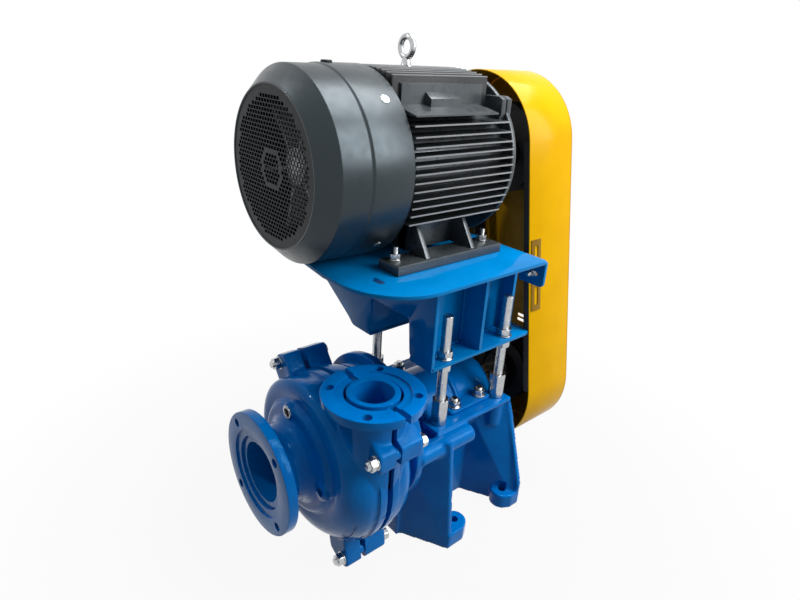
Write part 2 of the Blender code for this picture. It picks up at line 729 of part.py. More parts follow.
def make_frame_plate():
    """Drive half of the casing, which bolts to the base frame."""
    back = BASE_FLANGE_FRONT - SEAT
    shoulder_y = CASING_BACK - CASING_SHOULDER
    profile = [(0, BACK_PARTING - OVERRUN), (CASING_RIM_RADIUS, BACK_PARTING - OVERRUN),
               (CASING_RIM_RADIUS, BACK_PARTING + CASING_RIM_WIDTH),
               (CASING_RADIUS, BACK_PARTING + CASING_RIM_WIDTH), (CASING_RADIUS, shoulder_y),
               (CASING_RADIUS - CASING_WALL, CASING_BACK - CASING_WALL),
               (CASING_RADIUS - CASING_SHOULDER, CASING_BACK), (0, CASING_BACK)]
    piece = turned("frame_plate", profile, "Y", CASING_CENTRE)
    spigot = rod("spigot", "Y", SHAFT_CENTRE, FRAME_SPIGOT_RADIUS, CASING_BACK - CASING_WALL, back,
                 LARGE_FACETS)
    lugs = [lug(degrees, BACK_PARTING - RUNNING_GAP, BACK_PARTING + LUG_BACK_DEPTH)
            for degrees in LUG_ANGLES]
    joined(piece, spigot, discharge_branch(), *lugs)
    fillet = CAVITY_BACK - CASING_WALL
    cavity = [(0, BACK_PARTING - 2 * OVERRUN), (CAVITY_RADIUS, BACK_PARTING - 2 * OVERRUN),
              (CAVITY_RADIUS, fillet),
              (CAVITY_RADIUS - CASING_WALL, CAVITY_BACK), (0, CAVITY_BACK)]
    bore = clear_bore(BOX_RADIUS, LARGE_FACETS)
    cutters = [turned("cavity", cavity, "Y", CASING_CENTRE),
               rod("bore", "Y", SHAFT_CENTRE, bore, CAVITY_BACK - SINK, back + OVERRUN, LARGE_FACETS)]
    cutters += bolt_holes(BACK_PARTING, BACK_PARTING + LUG_BACK_DEPTH)
    return cut(piece, half_space(BACK_PARTING - LUG_CIRCLE, BACK_PARTING), *cutters, *discharge_cutters())


def make_casing_bolts():
    """Four long bolts that clamp the two casing halves, with a nut at the front."""
    front = FRONT_PARTING - LUG_FRONT_DEPTH - SEAT
    back = BACK_PARTING + LUG_BACK_DEPTH + SEAT
    pieces = []
    for number, degrees in enumerate(LUG_ANGLES, 1):
        place = lug_point(degrees)
        bolt = rod(f"casing_bolt_{number}", "Y", place, CASING_BOLT_RADIUS,
                   front - CASING_NUT_HEIGHT - CASING_BOLT_TAIL, back + SINK)
        nut = hexagon("nut", "Y", place, CASING_NUT_ACROSS, front - CASING_NUT_HEIGHT, front)
        head = hexagon("head", "Y", place, CASING_NUT_ACROSS, back, back + CASING_NUT_HEIGHT)
        pieces.append(joined(bolt, nut, head))
    return pieces


def volute_outline(facets):
    """Spiral passage about the shaft that widens round to the discharge."""
    points = []
    for step in range(facets + 1):
        share = step / facets
        radius = VOLUTE_START_RADIUS + (VOLUTE_END_RADIUS - VOLUTE_START_RADIUS) * share
        points.append(polar(SHAFT_CENTRE, radius, VOLUTE_START_ANGLE - VOLUTE_TURN * share))
    return points


def make_volute_liner():
    """Hard one-piece liner with the spiral passage and the discharge spout."""
    front = CAVITY_FRONT + SEAT
    back = CAVITY_BACK - SEAT
    radius = CAVITY_RADIUS - SEAT
    slope = CASING_WALL
    profile = [(0, front), (radius - slope, front), (radius, front + slope), (radius, back - slope),
               (radius - slope, back), (0, back)]
    piece = turned("volute_liner", profile, "Y", CASING_CENTRE)
    spout = rod("spout", "Z", DISCHARGE_CENTRE, DISCHARGE_LINER_RADIUS, SHAFT_HEIGHT, DISCHARGE_TOP,
                MIDDLE_FACETS)
    joined(piece, spout)
    passage = prism("passage", volute_outline(MIDDLE_FACETS), "Y", front + LINER_WALL, back - LINER_WALL)
    bore = rod("bore", "Z", DISCHARGE_CENTRE, DISCHARGE_BORE_RADIUS, SHAFT_HEIGHT - DISCHARGE_BORE_RADIUS,
               DISCHARGE_TOP + OVERRUN, MIDDLE_FACETS)
    side = seated_bore(THROAT_FLANGE_RADIUS, LARGE_FACETS)
    through = rod("through", "Y", SHAFT_CENTRE, side, front - OVERRUN, back + OVERRUN, LARGE_FACETS)
    return cut(piece, passage, bore, through)


def make_throat_bush():
    """Suction side liner: a spigot through the neck and a wear face at the impeller."""
    front = THROAT_RECESS
    step = CAVITY_FRONT + SEAT
    back = step + THROAT_FLANGE_THICKNESS
    profile = [(SUCTION_BORE_RADIUS, front), (SUCTION_LINER_RADIUS, front), (SUCTION_LINER_RADIUS, step),
               (THROAT_FLANGE_RADIUS, step), (THROAT_FLANGE_RADIUS, back), (SUCTION_BORE_RADIUS, back)]
    return turned("throat_bush", profile, "Y", SHAFT_CENTRE)


IMPELLER_FRONT = CAVITY_FRONT + SEAT + THROAT_FLANGE_THICKNESS + RUNNING_GAP
IMPELLER_BACK = CAVITY_BACK - SEAT - INSERT_THICKNESS - RUNNING_GAP
SLEEVE_FRONT = IMPELLER_BACK + SEAT
SLEEVE_RADIUS = SHAFT_SLEEVE_SEAT_RADIUS + SEAT + SLEEVE_WALL


def make_insert():
    """Back liner between the impeller and the frame plate."""
    inner = clear_bore(SLEEVE_RADIUS, LARGE_FACETS, RUNNING_GAP)
    back = CAVITY_BACK - SEAT
    front = back - INSERT_THICKNESS
    profile = [(inner, front), (THROAT_FLANGE_RADIUS, front), (THROAT_FLANGE_RADIUS, back), (inner, back)]
    return turned("frame_plate_insert", profile, "Y", SHAFT_CENTRE)


def vane(degrees, low, high):
    """One curved impeller vane, swept backwards from the eye to the rim."""
    steps = 4
    inner_radius = IMPELLER_EYE_RADIUS - VANE_THICKNESS
    outer_radius = IMPELLER_RADIUS - VANE_THICKNESS / 2
    centre_line = []
    for step in range(steps + 1):
        share = step / steps
        radius = inner_radius + (outer_radius - inner_radius) * share
        centre_line.append(Vector(polar((0, 0), radius, degrees + VANE_WRAP * share)))
    left = []
    right = []
    for step, point in enumerate(centre_line):
        before = centre_line[max(step - 1, 0)]
        after = centre_line[min(step + 1, steps)]
        run = (after - before).normalized()
        side = Vector((-run.y, run.x)) * VANE_THICKNESS / 2
        left.append(point + side)
        right.append(point - side)
    outline = [(point.x, SHAFT_HEIGHT + point.y) for point in left + right[::-1]]
    return prism("vane", outline, "Y", low, high)


def make_impeller():
    """Closed impeller: two shrouds, five vanes and a hub screwed on the shaft."""
    back_inside = IMPELLER_BACK - IMPELLER_SHROUD
    front_inside = IMPELLER_FRONT + IMPELLER_SHROUD
    hub_front = back_inside - IMPELLER_HUB_NOSE
    profile = [(0, hub_front), (IMPELLER_HUB_RADIUS / 2, hub_front), (IMPELLER_HUB_RADIUS, back_inside),
               (IMPELLER_RADIUS, back_inside), (IMPELLER_RADIUS, IMPELLER_BACK), (0, IMPELLER_BACK)]
    piece = turned("impeller", profile, "Y", SHAFT_CENTRE)
    shroud = turned("shroud", [(IMPELLER_EYE_RADIUS, IMPELLER_FRONT), (IMPELLER_RADIUS, IMPELLER_FRONT),
                               (IMPELLER_RADIUS, front_inside), (IMPELLER_EYE_RADIUS, front_inside)],
                    "Y", SHAFT_CENTRE)
    vanes = [vane(360 * number / VANE_COUNT, front_inside - SINK, back_inside + SINK)
             for number in range(VANE_COUNT)]
    joined(piece, *vanes, shroud)
    thread = seated_bore(SHAFT_NOSE_RADIUS, MIDDLE_FACETS)
    return cut(piece,
               rod("thread", "Y", SHAFT_CENTRE, thread, back_inside - SINK, IMPELLER_BACK + OVERRUN,
                   MIDDLE_FACETS))


def make_pump_shaft():
    """Stepped pump shaft from the impeller to the pulley."""
    nose = IMPELLER_BACK - IMPELLER_SHROUD + SEAT
    sleeve_end = SLEEVE_FRONT + SLEEVE_LENGTH
    front_bearing_end = HOUSING_FRONT + BEARING_WIDTH + COVER_SPIGOT + 2 * SEAT
    back_bearing_start = HOUSING_BACK - BEARING_WIDTH - COVER_SPIGOT - 2 * SEAT
    pulley_start = HOUSING_BACK + COVER_THICKNESS + OVERRUN
    profile = [(0, nose), (SHAFT_NOSE_RADIUS, nose), (SHAFT_NOSE_RADIUS, SLEEVE_FRONT),
               (SHAFT_SLEEVE_SEAT_RADIUS, SLEEVE_FRONT), (SHAFT_SLEEVE_SEAT_RADIUS, sleeve_end + SEAT),
               (SHAFT_BEARING_RADIUS, sleeve_end + SEAT), (SHAFT_BEARING_RADIUS, front_bearing_end),
               (SHAFT_BODY_RADIUS, front_bearing_end), (SHAFT_BODY_RADIUS, back_bearing_start),
               (SHAFT_BEARING_RADIUS, back_bearing_start), (SHAFT_BEARING_RADIUS, pulley_start),
               (SHAFT_PULLEY_RADIUS, pulley_start), (SHAFT_PULLEY_RADIUS, SHAFT_END), (0, SHAFT_END)]
    return turned("pump_shaft", profile, "Y", SHAFT_CENTRE, MIDDLE_FACETS)


def make_sleeve():
    """Wear sleeve on the shaft, under the packing."""
    inner = seated_bore(SHAFT_SLEEVE_SEAT_RADIUS, MIDDLE_FACETS)
    back = SLEEVE_FRONT + SLEEVE_LENGTH
    front = SLEEVE_FRONT + SEAT
    profile = [(inner, front), (SLEEVE_RADIUS, front), (SLEEVE_RADIUS, back), (inner, back)]
    return turned("shaft_sleeve", profile, "Y", SHAFT_CENTRE, MIDDLE_FACETS)


BOX_BACK = BOX_FRONT + BOX_LENGTH
GLAND_FRONT = BOX_BACK - GLAND_NOSE_LENGTH + SEAT
PACKING_BACK = GLAND_FRONT - SEAT
PACKING_FRONT = PACKING_BACK - PACKING_LENGTH


def make_stuffing_box():
    """Shaft seal chamber that sits in the frame plate."""
    throat = clear_bore(SLEEVE_RADIUS, MIDDLE_FACETS, RUNNING_GAP)
    step = PACKING_FRONT - SEAT
    profile = [(throat, BOX_FRONT), (BOX_RADIUS, BOX_FRONT), (BOX_RADIUS, BOX_BACK),
               (BOX_BORE_RADIUS, BOX_BACK),
               (BOX_BORE_RADIUS, step), (throat, step)]
    return turned("stuffing_box", profile, "Y", SHAFT_CENTRE, MIDDLE_FACETS)


def make_packing():
    """Rings of packing between the box and the sleeve."""
    inner = clear_bore(SLEEVE_RADIUS, MIDDLE_FACETS)
    outer = seated_plug(BOX_BORE_RADIUS, MIDDLE_FACETS)
    profile = [(inner, PACKING_FRONT), (outer, PACKING_FRONT), (outer, PACKING_BACK),
               (inner, PACKING_BACK)]
    return turned("gland_packing", profile, "Y", SHAFT_CENTRE, MIDDLE_FACETS)


def make_gland():
    """Two-eared follower that presses the packing."""
    inner = clear_bore(SLEEVE_RADIUS, MIDDLE_FACETS, RUNNING_GAP / 2)
    outer = seated_plug(BOX_BORE_RADIUS, MIDDLE_FACETS)
    plate_front = BOX_BACK + SEAT
    plate_back = plate_front + GLAND_PLATE_THICKNESS
    ring = turned("gland",
                  [(inner, GLAND_FRONT), (outer, GLAND_FRONT), (outer, plate_back), (inner, plate_back)],
                  "Y", SHAFT_CENTRE, MIDDLE_FACETS)
    ear_x = GLAND_HALF_WIDTH - GLAND_EAR_RADIUS
    waist = outer + GLAND_STUD_RADIUS
    right = arc((ear_x, SHAFT_HEIGHT), GLAND_EAR_RADIUS, -60, 60, 4)
    left = arc((-ear_x, SHAFT_HEIGHT), GLAND_EAR_RADIUS, 120, 240, 4)
    outline = right + arc(SHAFT_CENTRE, waist, 65, 115, 3) + left + arc(SHAFT_CENTRE, waist, 245, 295, 3)
    plate = prism("plate", outline, "Y", plate_front, plate_back)
    joined(ring, plate)
    return cut(ring,
               rod("bore", "Y", SHAFT_CENTRE, inner, GLAND_FRONT - OVERRUN, plate_back + OVERRUN,
                   MIDDLE_FACETS))


def mirrored(outline):
    """The same outline on the other side of the shaft."""
    return [(-first, second) for first, second in outline[::-1]]


def skew_plate(name, corners, thickness):
    """A plate whose front face runs through given points in space, thickened along Y."""
    shape = bmesh.new()
    front = [shape.verts.new(corner) for corner in corners]
    back = [shape.verts.new((corner[0], corner[1] + thickness, corner[2])) for corner in corners]
    count = len(corners)
    for low, middle in zip(range(1, count - 1), range(2, count)):
        shape.faces.new((front[0], front[low], front[middle]))
        shape.faces.new((back[0], back[middle], back[low]))
    for step in range(count):
        after = (step + 1) % count
        shape.faces.new((front[step], front[after], back[after], back[step]))
    return mesh_object(name, shape)


def base_side(side):
    """Web plates, rail, bosses and foot pads of one side of the base."""
    wall = BASE_WALL
    rail_low = RAIL_TOP - RAIL_THICKNESS
    body_front = BASE_FLANGE_FRONT + BASE_FLANGE_THICKNESS
    pieces = []
    front_web = [(side * FOOT_OUTER_X, FRONT_FOOT_Y, 0), (side * WEB_TOP_FRONT_X, FRONT_FOOT_Y, rail_low),
                 (side * (BASE_BODY_HALF_WIDTH - wall), body_front, rail_low),
                 (side * (BASE_BODY_HALF_WIDTH - wall), body_front, 0)]
    pieces.append(skew_plate("front_web", front_web, wall))
    rear_y = REAR_FOOT_Y
    rear_web = [(side * FOOT_OUTER_X, rear_y, 0), (side * FOOT_OUTER_X, rear_y, REAR_WEB_KNEE_HEIGHT),
                (side * WEB_TOP_REAR_X, rear_y, rail_low),
                (side * (BODY_BACK_HALF_WIDTH - wall), REAR_WEB_INNER_Y, rail_low),
                (side * (BODY_BACK_HALF_WIDTH - wall), REAR_WEB_INNER_Y, 0)]
    pieces.append(skew_plate("rear_web", rear_web, wall))
    edges = sorted((side * BODY_BACK_HALF_WIDTH, side * (BODY_BACK_HALF_WIDTH - wall)))
    pieces.append(block("side_wall", edges, (body_front + wall, REAR_WEB_INNER_Y + wall), (0, rail_low)))
    rail_edges = sorted((side * RAIL_INNER_X, side * RAIL_OUTER_X))
    corner = RAIL_CORNER
    radii = (0, corner, corner, 0) if side > 0 else (corner, 0, 0, corner)
    rail = rounded_rectangle(rail_edges[0], rail_edges[1], RAIL_FRONT, RAIL_BACK, radii, 3)
    pieces.append(prism("rail", rail, "Z", rail_low - SINK, RAIL_TOP))
    for y in (STUD_FRONT_Y, STUD_BACK_Y):
        pieces.append(rod("stud_boss", "Z", (side * STUD_X, y), STUD_BOSS_RADIUS,
                          RAIL_TOP - STUD_BOSS_DEPTH,
                          rail_low, SMALL_FACETS))
    tube = turned("tube",
                  [(0, body_front - SINK), (TUBE_RADIUS, body_front - SINK), (TUBE_RADIUS, TUBE_BACK),
                           (0, TUBE_BACK)], "Y", (side * TUBE_X, TUBE_Z), SMALL_FACETS)
    pieces.append(tube)
    for y, front in ((FRONT_HOLE_Y, FRONT_FOOT_Y), (REAR_HOLE_Y, REAR_FOOT_Y + wall)):
        inner = PAD_HOLE_X - PAD_RADIUS
        outer = FOOT_OUTER_X
        if y > front:
            pad = [(outer, front), (inner, front)] + arc((PAD_HOLE_X, y), PAD_RADIUS, 180, 35, 5)
            pad.append((outer, y))
        else:
            pad = [(inner, front), (outer, front), (outer, y)] + arc((PAD_HOLE_X, y), PAD_RADIUS, -35,
                                                                     -180, 5)
        if side < 0:
            pad = mirrored(pad)
        pieces.append(prism("pad", pad, "Z", 0, PAD_HEIGHT))
    return pieces


def make_base_frame():
    """Cast base: front flange, webbed legs, foot pads, rails and the saddle of the bearing housing."""
    wall = BASE_WALL
    flange_back = BASE_FLANGE_FRONT + BASE_FLANGE_THICKNESS
    piece = rod("base_frame", "Y", SHAFT_CENTRE, BASE_FLANGE_RADIUS, BASE_FLANGE_FRONT, flange_back,
                LARGE_FACETS)
    width = BASE_BODY_HALF_WIDTH
    wall_top = SHAFT_HEIGHT
    arch = [(BASE_ARCH_HALF_WIDTH * math.cos(math.radians(step)),
             BASE_ARCH_HEIGHT * math.sin(math.radians(step)))
            for step in range(0, 181, 30)]
    front_outline = [(-width, 0)] + arch[::-1] + [(width, 0), (width, wall_top), (-width, wall_top)]
    front_wall = prism("front_wall", front_outline, "Y", flange_back - SINK, flange_back + wall)
    back_wall = block("back_wall", (-BODY_BACK_HALF_WIDTH + SINK, BODY_BACK_HALF_WIDTH - SINK),
                      (REAR_WEB_INNER_Y, REAR_WEB_INNER_Y + wall), (0, SHAFT_HEIGHT - HOUSING_RADIUS))
    inner = seated_bore(HOUSING_RADIUS, LARGE_FACETS)
    outer = HOUSING_RADIUS + SADDLE_WALL
    top = RAIL_TOP - RAIL_THICKNESS
    saddle = rod("saddle", "Y", SHAFT_CENTRE, outer, SADDLE_FRONT, RAIL_BACK, LARGE_FACETS)
    reach = BASE_FLANGE_RADIUS
    cut(saddle, block("top", (-reach, reach), (0, RAIL_BACK + OVERRUN), (top, top + reach)))
    joined(piece, front_wall, *base_side(1), *base_side(-1), saddle, back_wall)
    clear = rod("clear", "Y", SHAFT_CENTRE, inner, SADDLE_FRONT - OVERRUN, RAIL_BACK + OVERRUN,
                LARGE_FACETS)
    seal = rod("seal", "Y", SHAFT_CENTRE, clear_bore(BOX_RADIUS, LARGE_FACETS),
               BASE_FLANGE_FRONT - OVERRUN,
               flange_back + wall + OVERRUN, LARGE_FACETS)
    cutters = [clear, seal]
    for side in (1, -1):
        for y in (FRONT_HOLE_Y, REAR_HOLE_Y):
            cutters.append(rod("hole", "Z", (side * PAD_HOLE_X, y), PAD_HOLE_RADIUS, -OVERRUN,
                               PAD_HEIGHT + OVERRUN))
        for y in (CLAMP_FRONT_Y, CLAMP_BACK_Y):
            radius = seated_bore(CLAMP_RADIUS, ROD_FACETS)
            cutters.append(rod("clamp_hole", "Z", (side * CLAMP_X, y), radius, top - CLAMP_NUT_ACROSS,
                               RAIL_TOP + OVERRUN))
    return cut(piece, *cutters)


def make_housing():
    """Bearing housing: a barrel with side flanges that lie on the rails of the base."""
    low = RAIL_TOP + SEAT
    high = low + HOUSING_LUG_THICKNESS
    piece = rod("bearing_housing", "Y", SHAFT_CENTRE, HOUSING_RADIUS, HOUSING_FRONT, HOUSING_BACK,
                LARGE_FACETS)
    plate = block("plate", (-HOUSING_LUG_X, HOUSING_LUG_X), (HOUSING_LUG_FRONT, HOUSING_LUG_BACK),
                  (low, high))
    middle = (HOUSING_FRONT + HOUSING_BACK) / 2
    rib = rod("rib", "Y", SHAFT_CENTRE, HOUSING_RADIUS + HOUSING_RIB_HEIGHT,
              middle - HOUSING_RIB_WIDTH / 2,
              middle + HOUSING_RIB_WIDTH / 2, LARGE_FACETS)
    reach = HOUSING_RADIUS * 2
    cut(rib, block("low", (-reach, reach), (HOUSING_FRONT, HOUSING_BACK), (-reach, high)))
    joined(piece, plate, rib)
    bore = rod("bore", "Y", SHAFT_CENTRE, HOUSING_BORE_RADIUS, HOUSING_FRONT - OVERRUN,
               HOUSING_BACK + OVERRUN,
               MIDDLE_FACETS)
    cutters = [bore]
    for side in (1, -1):
        for y in (CLAMP_FRONT_Y, CLAMP_BACK_Y):
            radius = seated_bore(CLAMP_RADIUS, ROD_FACETS)
            cutters.append(rod("hole", "Z", (side * CLAMP_X, y), radius, low - OVERRUN, high + OVERRUN))
    return cut(piece, *cutters)


def housing_cover(name, face, outward):
    """End cover of the bearing housing, with a spigot in the bore."""
    bore = clear_bore(SHAFT_BEARING_RADIUS, MIDDLE_FACETS, RUNNING_GAP / 4)
    spigot = seated_plug(HOUSING_BORE_RADIUS, MIDDLE_FACETS)
    seat = face + outward * SEAT
    profile = [(bore, face - outward * COVER_SPIGOT), (spigot, face - outward * COVER_SPIGOT),
               (spigot, seat),
               (COVER_RADIUS, seat), (COVER_RADIUS, seat + outward * COVER_THICKNESS / 2),
               (COVER_RADIUS - COVER_THICKNESS, seat + outward * COVER_THICKNESS),
               (bore, seat + outward * COVER_THICKNESS)]
    return turned(name, profile, "Y", SHAFT_CENTRE, MIDDLE_FACETS)


def bearing(name, low, width, inner_radius, outer_radius, centre):
    """A rolling bearing as one ring that fills its seat."""
    inner = clear_bore(inner_radius, MIDDLE_FACETS)
    outer = seated_plug(outer_radius, MIDDLE_FACETS)
    profile = [(inner, low), (outer, low), (outer, low + width), (inner, low + width)]
    return turned(name, profile, "Y", centre, MIDDLE_FACETS)


def make_pump_bearings():
    """Two bearings in the housing, each against its end cover."""
    front = HOUSING_FRONT + COVER_SPIGOT + SEAT
    back = HOUSING_BACK - COVER_SPIGOT - SEAT - BEARING_WIDTH
    return [bearing("pump_bearing_front", front, BEARING_WIDTH, SHAFT_BEARING_RADIUS,
                    HOUSING_BORE_RADIUS, SHAFT_CENTRE),
            bearing("pump_bearing_rear", back, BEARING_WIDTH, SHAFT_BEARING_RADIUS, HOUSING_BORE_RADIUS,
                    SHAFT_CENTRE)]


def corners_of(half_x, front, back):
    """Four places, two on each side of the shaft."""
    return [(half_x, front), (half_x, back), (-half_x, front), (-half_x, back)]


def make_clamp_bolts():
    """Bolts, washers and nuts that clamp the bearing housing to the rails."""
    pieces = []
    low = RAIL_TOP - RAIL_THICKNESS
    top = RAIL_TOP + 2 * SEAT + HOUSING_LUG_THICKNESS
    for number, place in enumerate(corners_of(CLAMP_X, CLAMP_FRONT_Y, CLAMP_BACK_Y), 1):
        washer_top = top + CLAMP_WASHER_THICKNESS
        nut_top = washer_top + CLAMP_NUT_HEIGHT
        bolt = rod(f"housing_clamp_bolt_{number}", "Z", place, CLAMP_RADIUS, low, nut_top + CLAMP_TAIL)
        washer = rod("washer", "Z", place, CLAMP_WASHER_RADIUS, top, washer_top, SMALL_FACETS)
        nut = hexagon("nut", "Z", place, CLAMP_NUT_ACROSS, washer_top - SEAT, nut_top)
        pieces.append(joined(bolt, washer, nut))
    return pieces


def make_standoffs():
    """Hexagonal stand-offs on the rails, threaded for the studs."""
    pieces = []
    for number, place in enumerate(corners_of(STUD_X, STUD_FRONT_Y, STUD_BACK_Y), 1):
        piece = hexagon(f"standoff_{number}", "Z", place, STANDOFF_ACROSS, RAIL_TOP + SEAT, STANDOFF_TOP)
        thread = rod("thread", "Z", place, seated_bore(STUD_RADIUS, ROD_FACETS),
                     STANDOFF_TOP - STANDOFF_THREAD - SEAT,
                     STANDOFF_TOP + OVERRUN)
        pieces.append(cut(piece, thread))
    return pieces


def make_studs():
    """Threaded studs with a nut under and over the foot plate of the stand."""
    pieces = []
    for number, place in enumerate(corners_of(STUD_X, STUD_FRONT_Y, STUD_BACK_Y), 1):
        stud = rod(f"height_stud_{number}", "Z", place, STUD_RADIUS, STANDOFF_TOP - STANDOFF_THREAD,
                   STUD_TOP)
        under = STAND_LEG_FOOT - SEAT
        over = STAND_LEG_FOOT + STAND_PLATE + SEAT
        low_nut = hexagon("low_nut", "Z", place, STUD_NUT_ACROSS, under - STUD_NUT_HEIGHT, under)
        high_nut = hexagon("high_nut", "Z", place, STUD_NUT_ACROSS, over, over + STUD_NUT_HEIGHT)
        pieces.append(joined(stud, low_nut, high_nut))
    return pieces


def platform_outline():
    """Platform seen from above: wide round corners at the front and a front edge that slants away."""
    wide = PLATFORM_FRONT_RADIUS
    near = PLATFORM_BACK_RADIUS
    left = PLATFORM_LEFT_RADIUS
    slant_y = PLATFORM_FRONT + PLATFORM_SLANT
    points = [(0, PLATFORM_FRONT)]
    points += arc((PLATFORM_RIGHT - wide, PLATFORM_FRONT + wide), wide, 270, 360, 8)
    points += arc((PLATFORM_RIGHT - near, PLATFORM_BACK - near), near, 0, 90, 3)
    points += arc((PLATFORM_LEFT + near, PLATFORM_BACK - near), near, 90, 180, 3)
    points += arc((PLATFORM_LEFT + left, slant_y + left), left, 180, 270, 5)
    return points


def make_motor_stand():
    """Welded stand: platform, front web with two legs, side channels and foot plates."""
    plate = STAND_PLATE
    under = PLATFORM_TOP - PLATFORM_THICKNESS
    foot_top = STAND_LEG_FOOT + plate
    right = STAND_LEG_OUTER_X
    inner = STAND_LEG_INNER_X
    corner = STAND_LEG_CORNER
    piece = prism("motor_stand", platform_outline(), "Z", under, PLATFORM_TOP)
    web = [(right, under + SINK), (-STAND_WING_X, under + SINK), (-STAND_WING_X, under - STAND_WING_DROP),
           (-STAND_HANG_X, STAND_HANG_HEIGHT),
           (-right, STAND_LEG_FOOT), (-inner - plate, STAND_LEG_FOOT), (-inner, foot_top),
           (-inner, STAND_NOTCH_TOP), (inner, STAND_NOTCH_TOP), (inner, STAND_LEG_FOOT + corner),
           (inner + corner, STAND_LEG_FOOT), (right, STAND_LEG_FOOT)]
    tools = [prism("web", web, "Y", STAND_FRONT, STAND_FRONT + plate)]
    for side in (1, -1):
        wall = sorted((side * inner, side * (inner + plate)))
        tools.append(block("wall", wall, (STAND_FRONT + SINK, STAND_REAR_WEB_Y + plate),
                           (STAND_LEG_FOOT + SINK, under + SINK)))
        foot_edges = sorted((side * inner, side * right))
        foot = rounded_rectangle(foot_edges[0], foot_edges[1], STAND_FRONT + SINK, STAND_FOOT_BACK,
                                 (0, 0, corner, corner), 3)
        tools.append(prism("foot", foot, "Z", STAND_LEG_FOOT, foot_top))
        rib_edges = sorted((side * (inner + SINK), side * (right - SINK)))
        tools.append(block("rib", rib_edges, (STAND_MIDDLE_RIB_Y, STAND_MIDDLE_RIB_Y + plate),
                           (STAND_LEG_FOOT + SINK, under + SINK)))
        rear_edges = sorted((side * (inner + SINK), side * STAND_REAR_WEB_X))
        tools.append(block("rear", rear_edges, (STAND_REAR_WEB_Y, STAND_REAR_WEB_Y + plate),
                           (STAND_LEG_FOOT + SINK, under + SINK)))
    lip_left = PLATFORM_RIGHT - PLATFORM_LIP_LENGTH
    lip_low = PLATFORM_TOP - PLATFORM_LIP
    lip = rounded_rectangle(lip_left, PLATFORM_RIGHT, lip_low, under + SINK, (corner, corner, 0, 0), 3)
    tools.append(prism("lip", lip, "Y", PLATFORM_BACK - plate, PLATFORM_BACK))
    joined(piece, *tools)
    lip_middle = (PLATFORM_RIGHT - PLATFORM_LIP_LENGTH / 2, (lip_low + under) / 2)
    cutters = [prism("lip_slot", slot_outline(lip_middle, LIP_SLOT_LENGTH, LIP_SLOT_WIDTH), "Y",
                     PLATFORM_BACK - plate - OVERRUN, PLATFORM_BACK + OVERRUN)]
    for side in (1, -1):
        slot_x = MOTOR_X + side * (PLATFORM_SLOT_X - MOTOR_X)
        outline = slot_outline((slot_x, PLATFORM_SLOT_Y), PLATFORM_SLOT_LENGTH, PLATFORM_SLOT_WIDTH)
        cutters.append(prism("slot", outline, "Z", under - OVERRUN, PLATFORM_TOP + OVERRUN))
        for y in (STUD_FRONT_Y, STUD_BACK_Y):
            radius = seated_bore(STUD_RADIUS, ROD_FACETS)
            cutters.append(rod("stud_hole", "Z", (side * STUD_X, y), radius, STAND_LEG_FOOT - OVERRUN,
                               foot_top + OVERRUN))
        for y in (FOOT_CENTRE_Y - FOOT_HALF_PITCH, FOOT_CENTRE_Y + FOOT_HALF_PITCH):
            radius = seated_bore(FOOT_BOLT_RADIUS, ROD_FACETS)
            place = (MOTOR_X + side * FOOT_HALF_GAUGE, y)
            cutters.append(rod("foot_hole", "Z", place, radius, under - OVERRUN, PLATFORM_TOP + OVERRUN))
    return cut(piece, *cutters)


FOOT_BASE = PLATFORM_TOP + SEAT


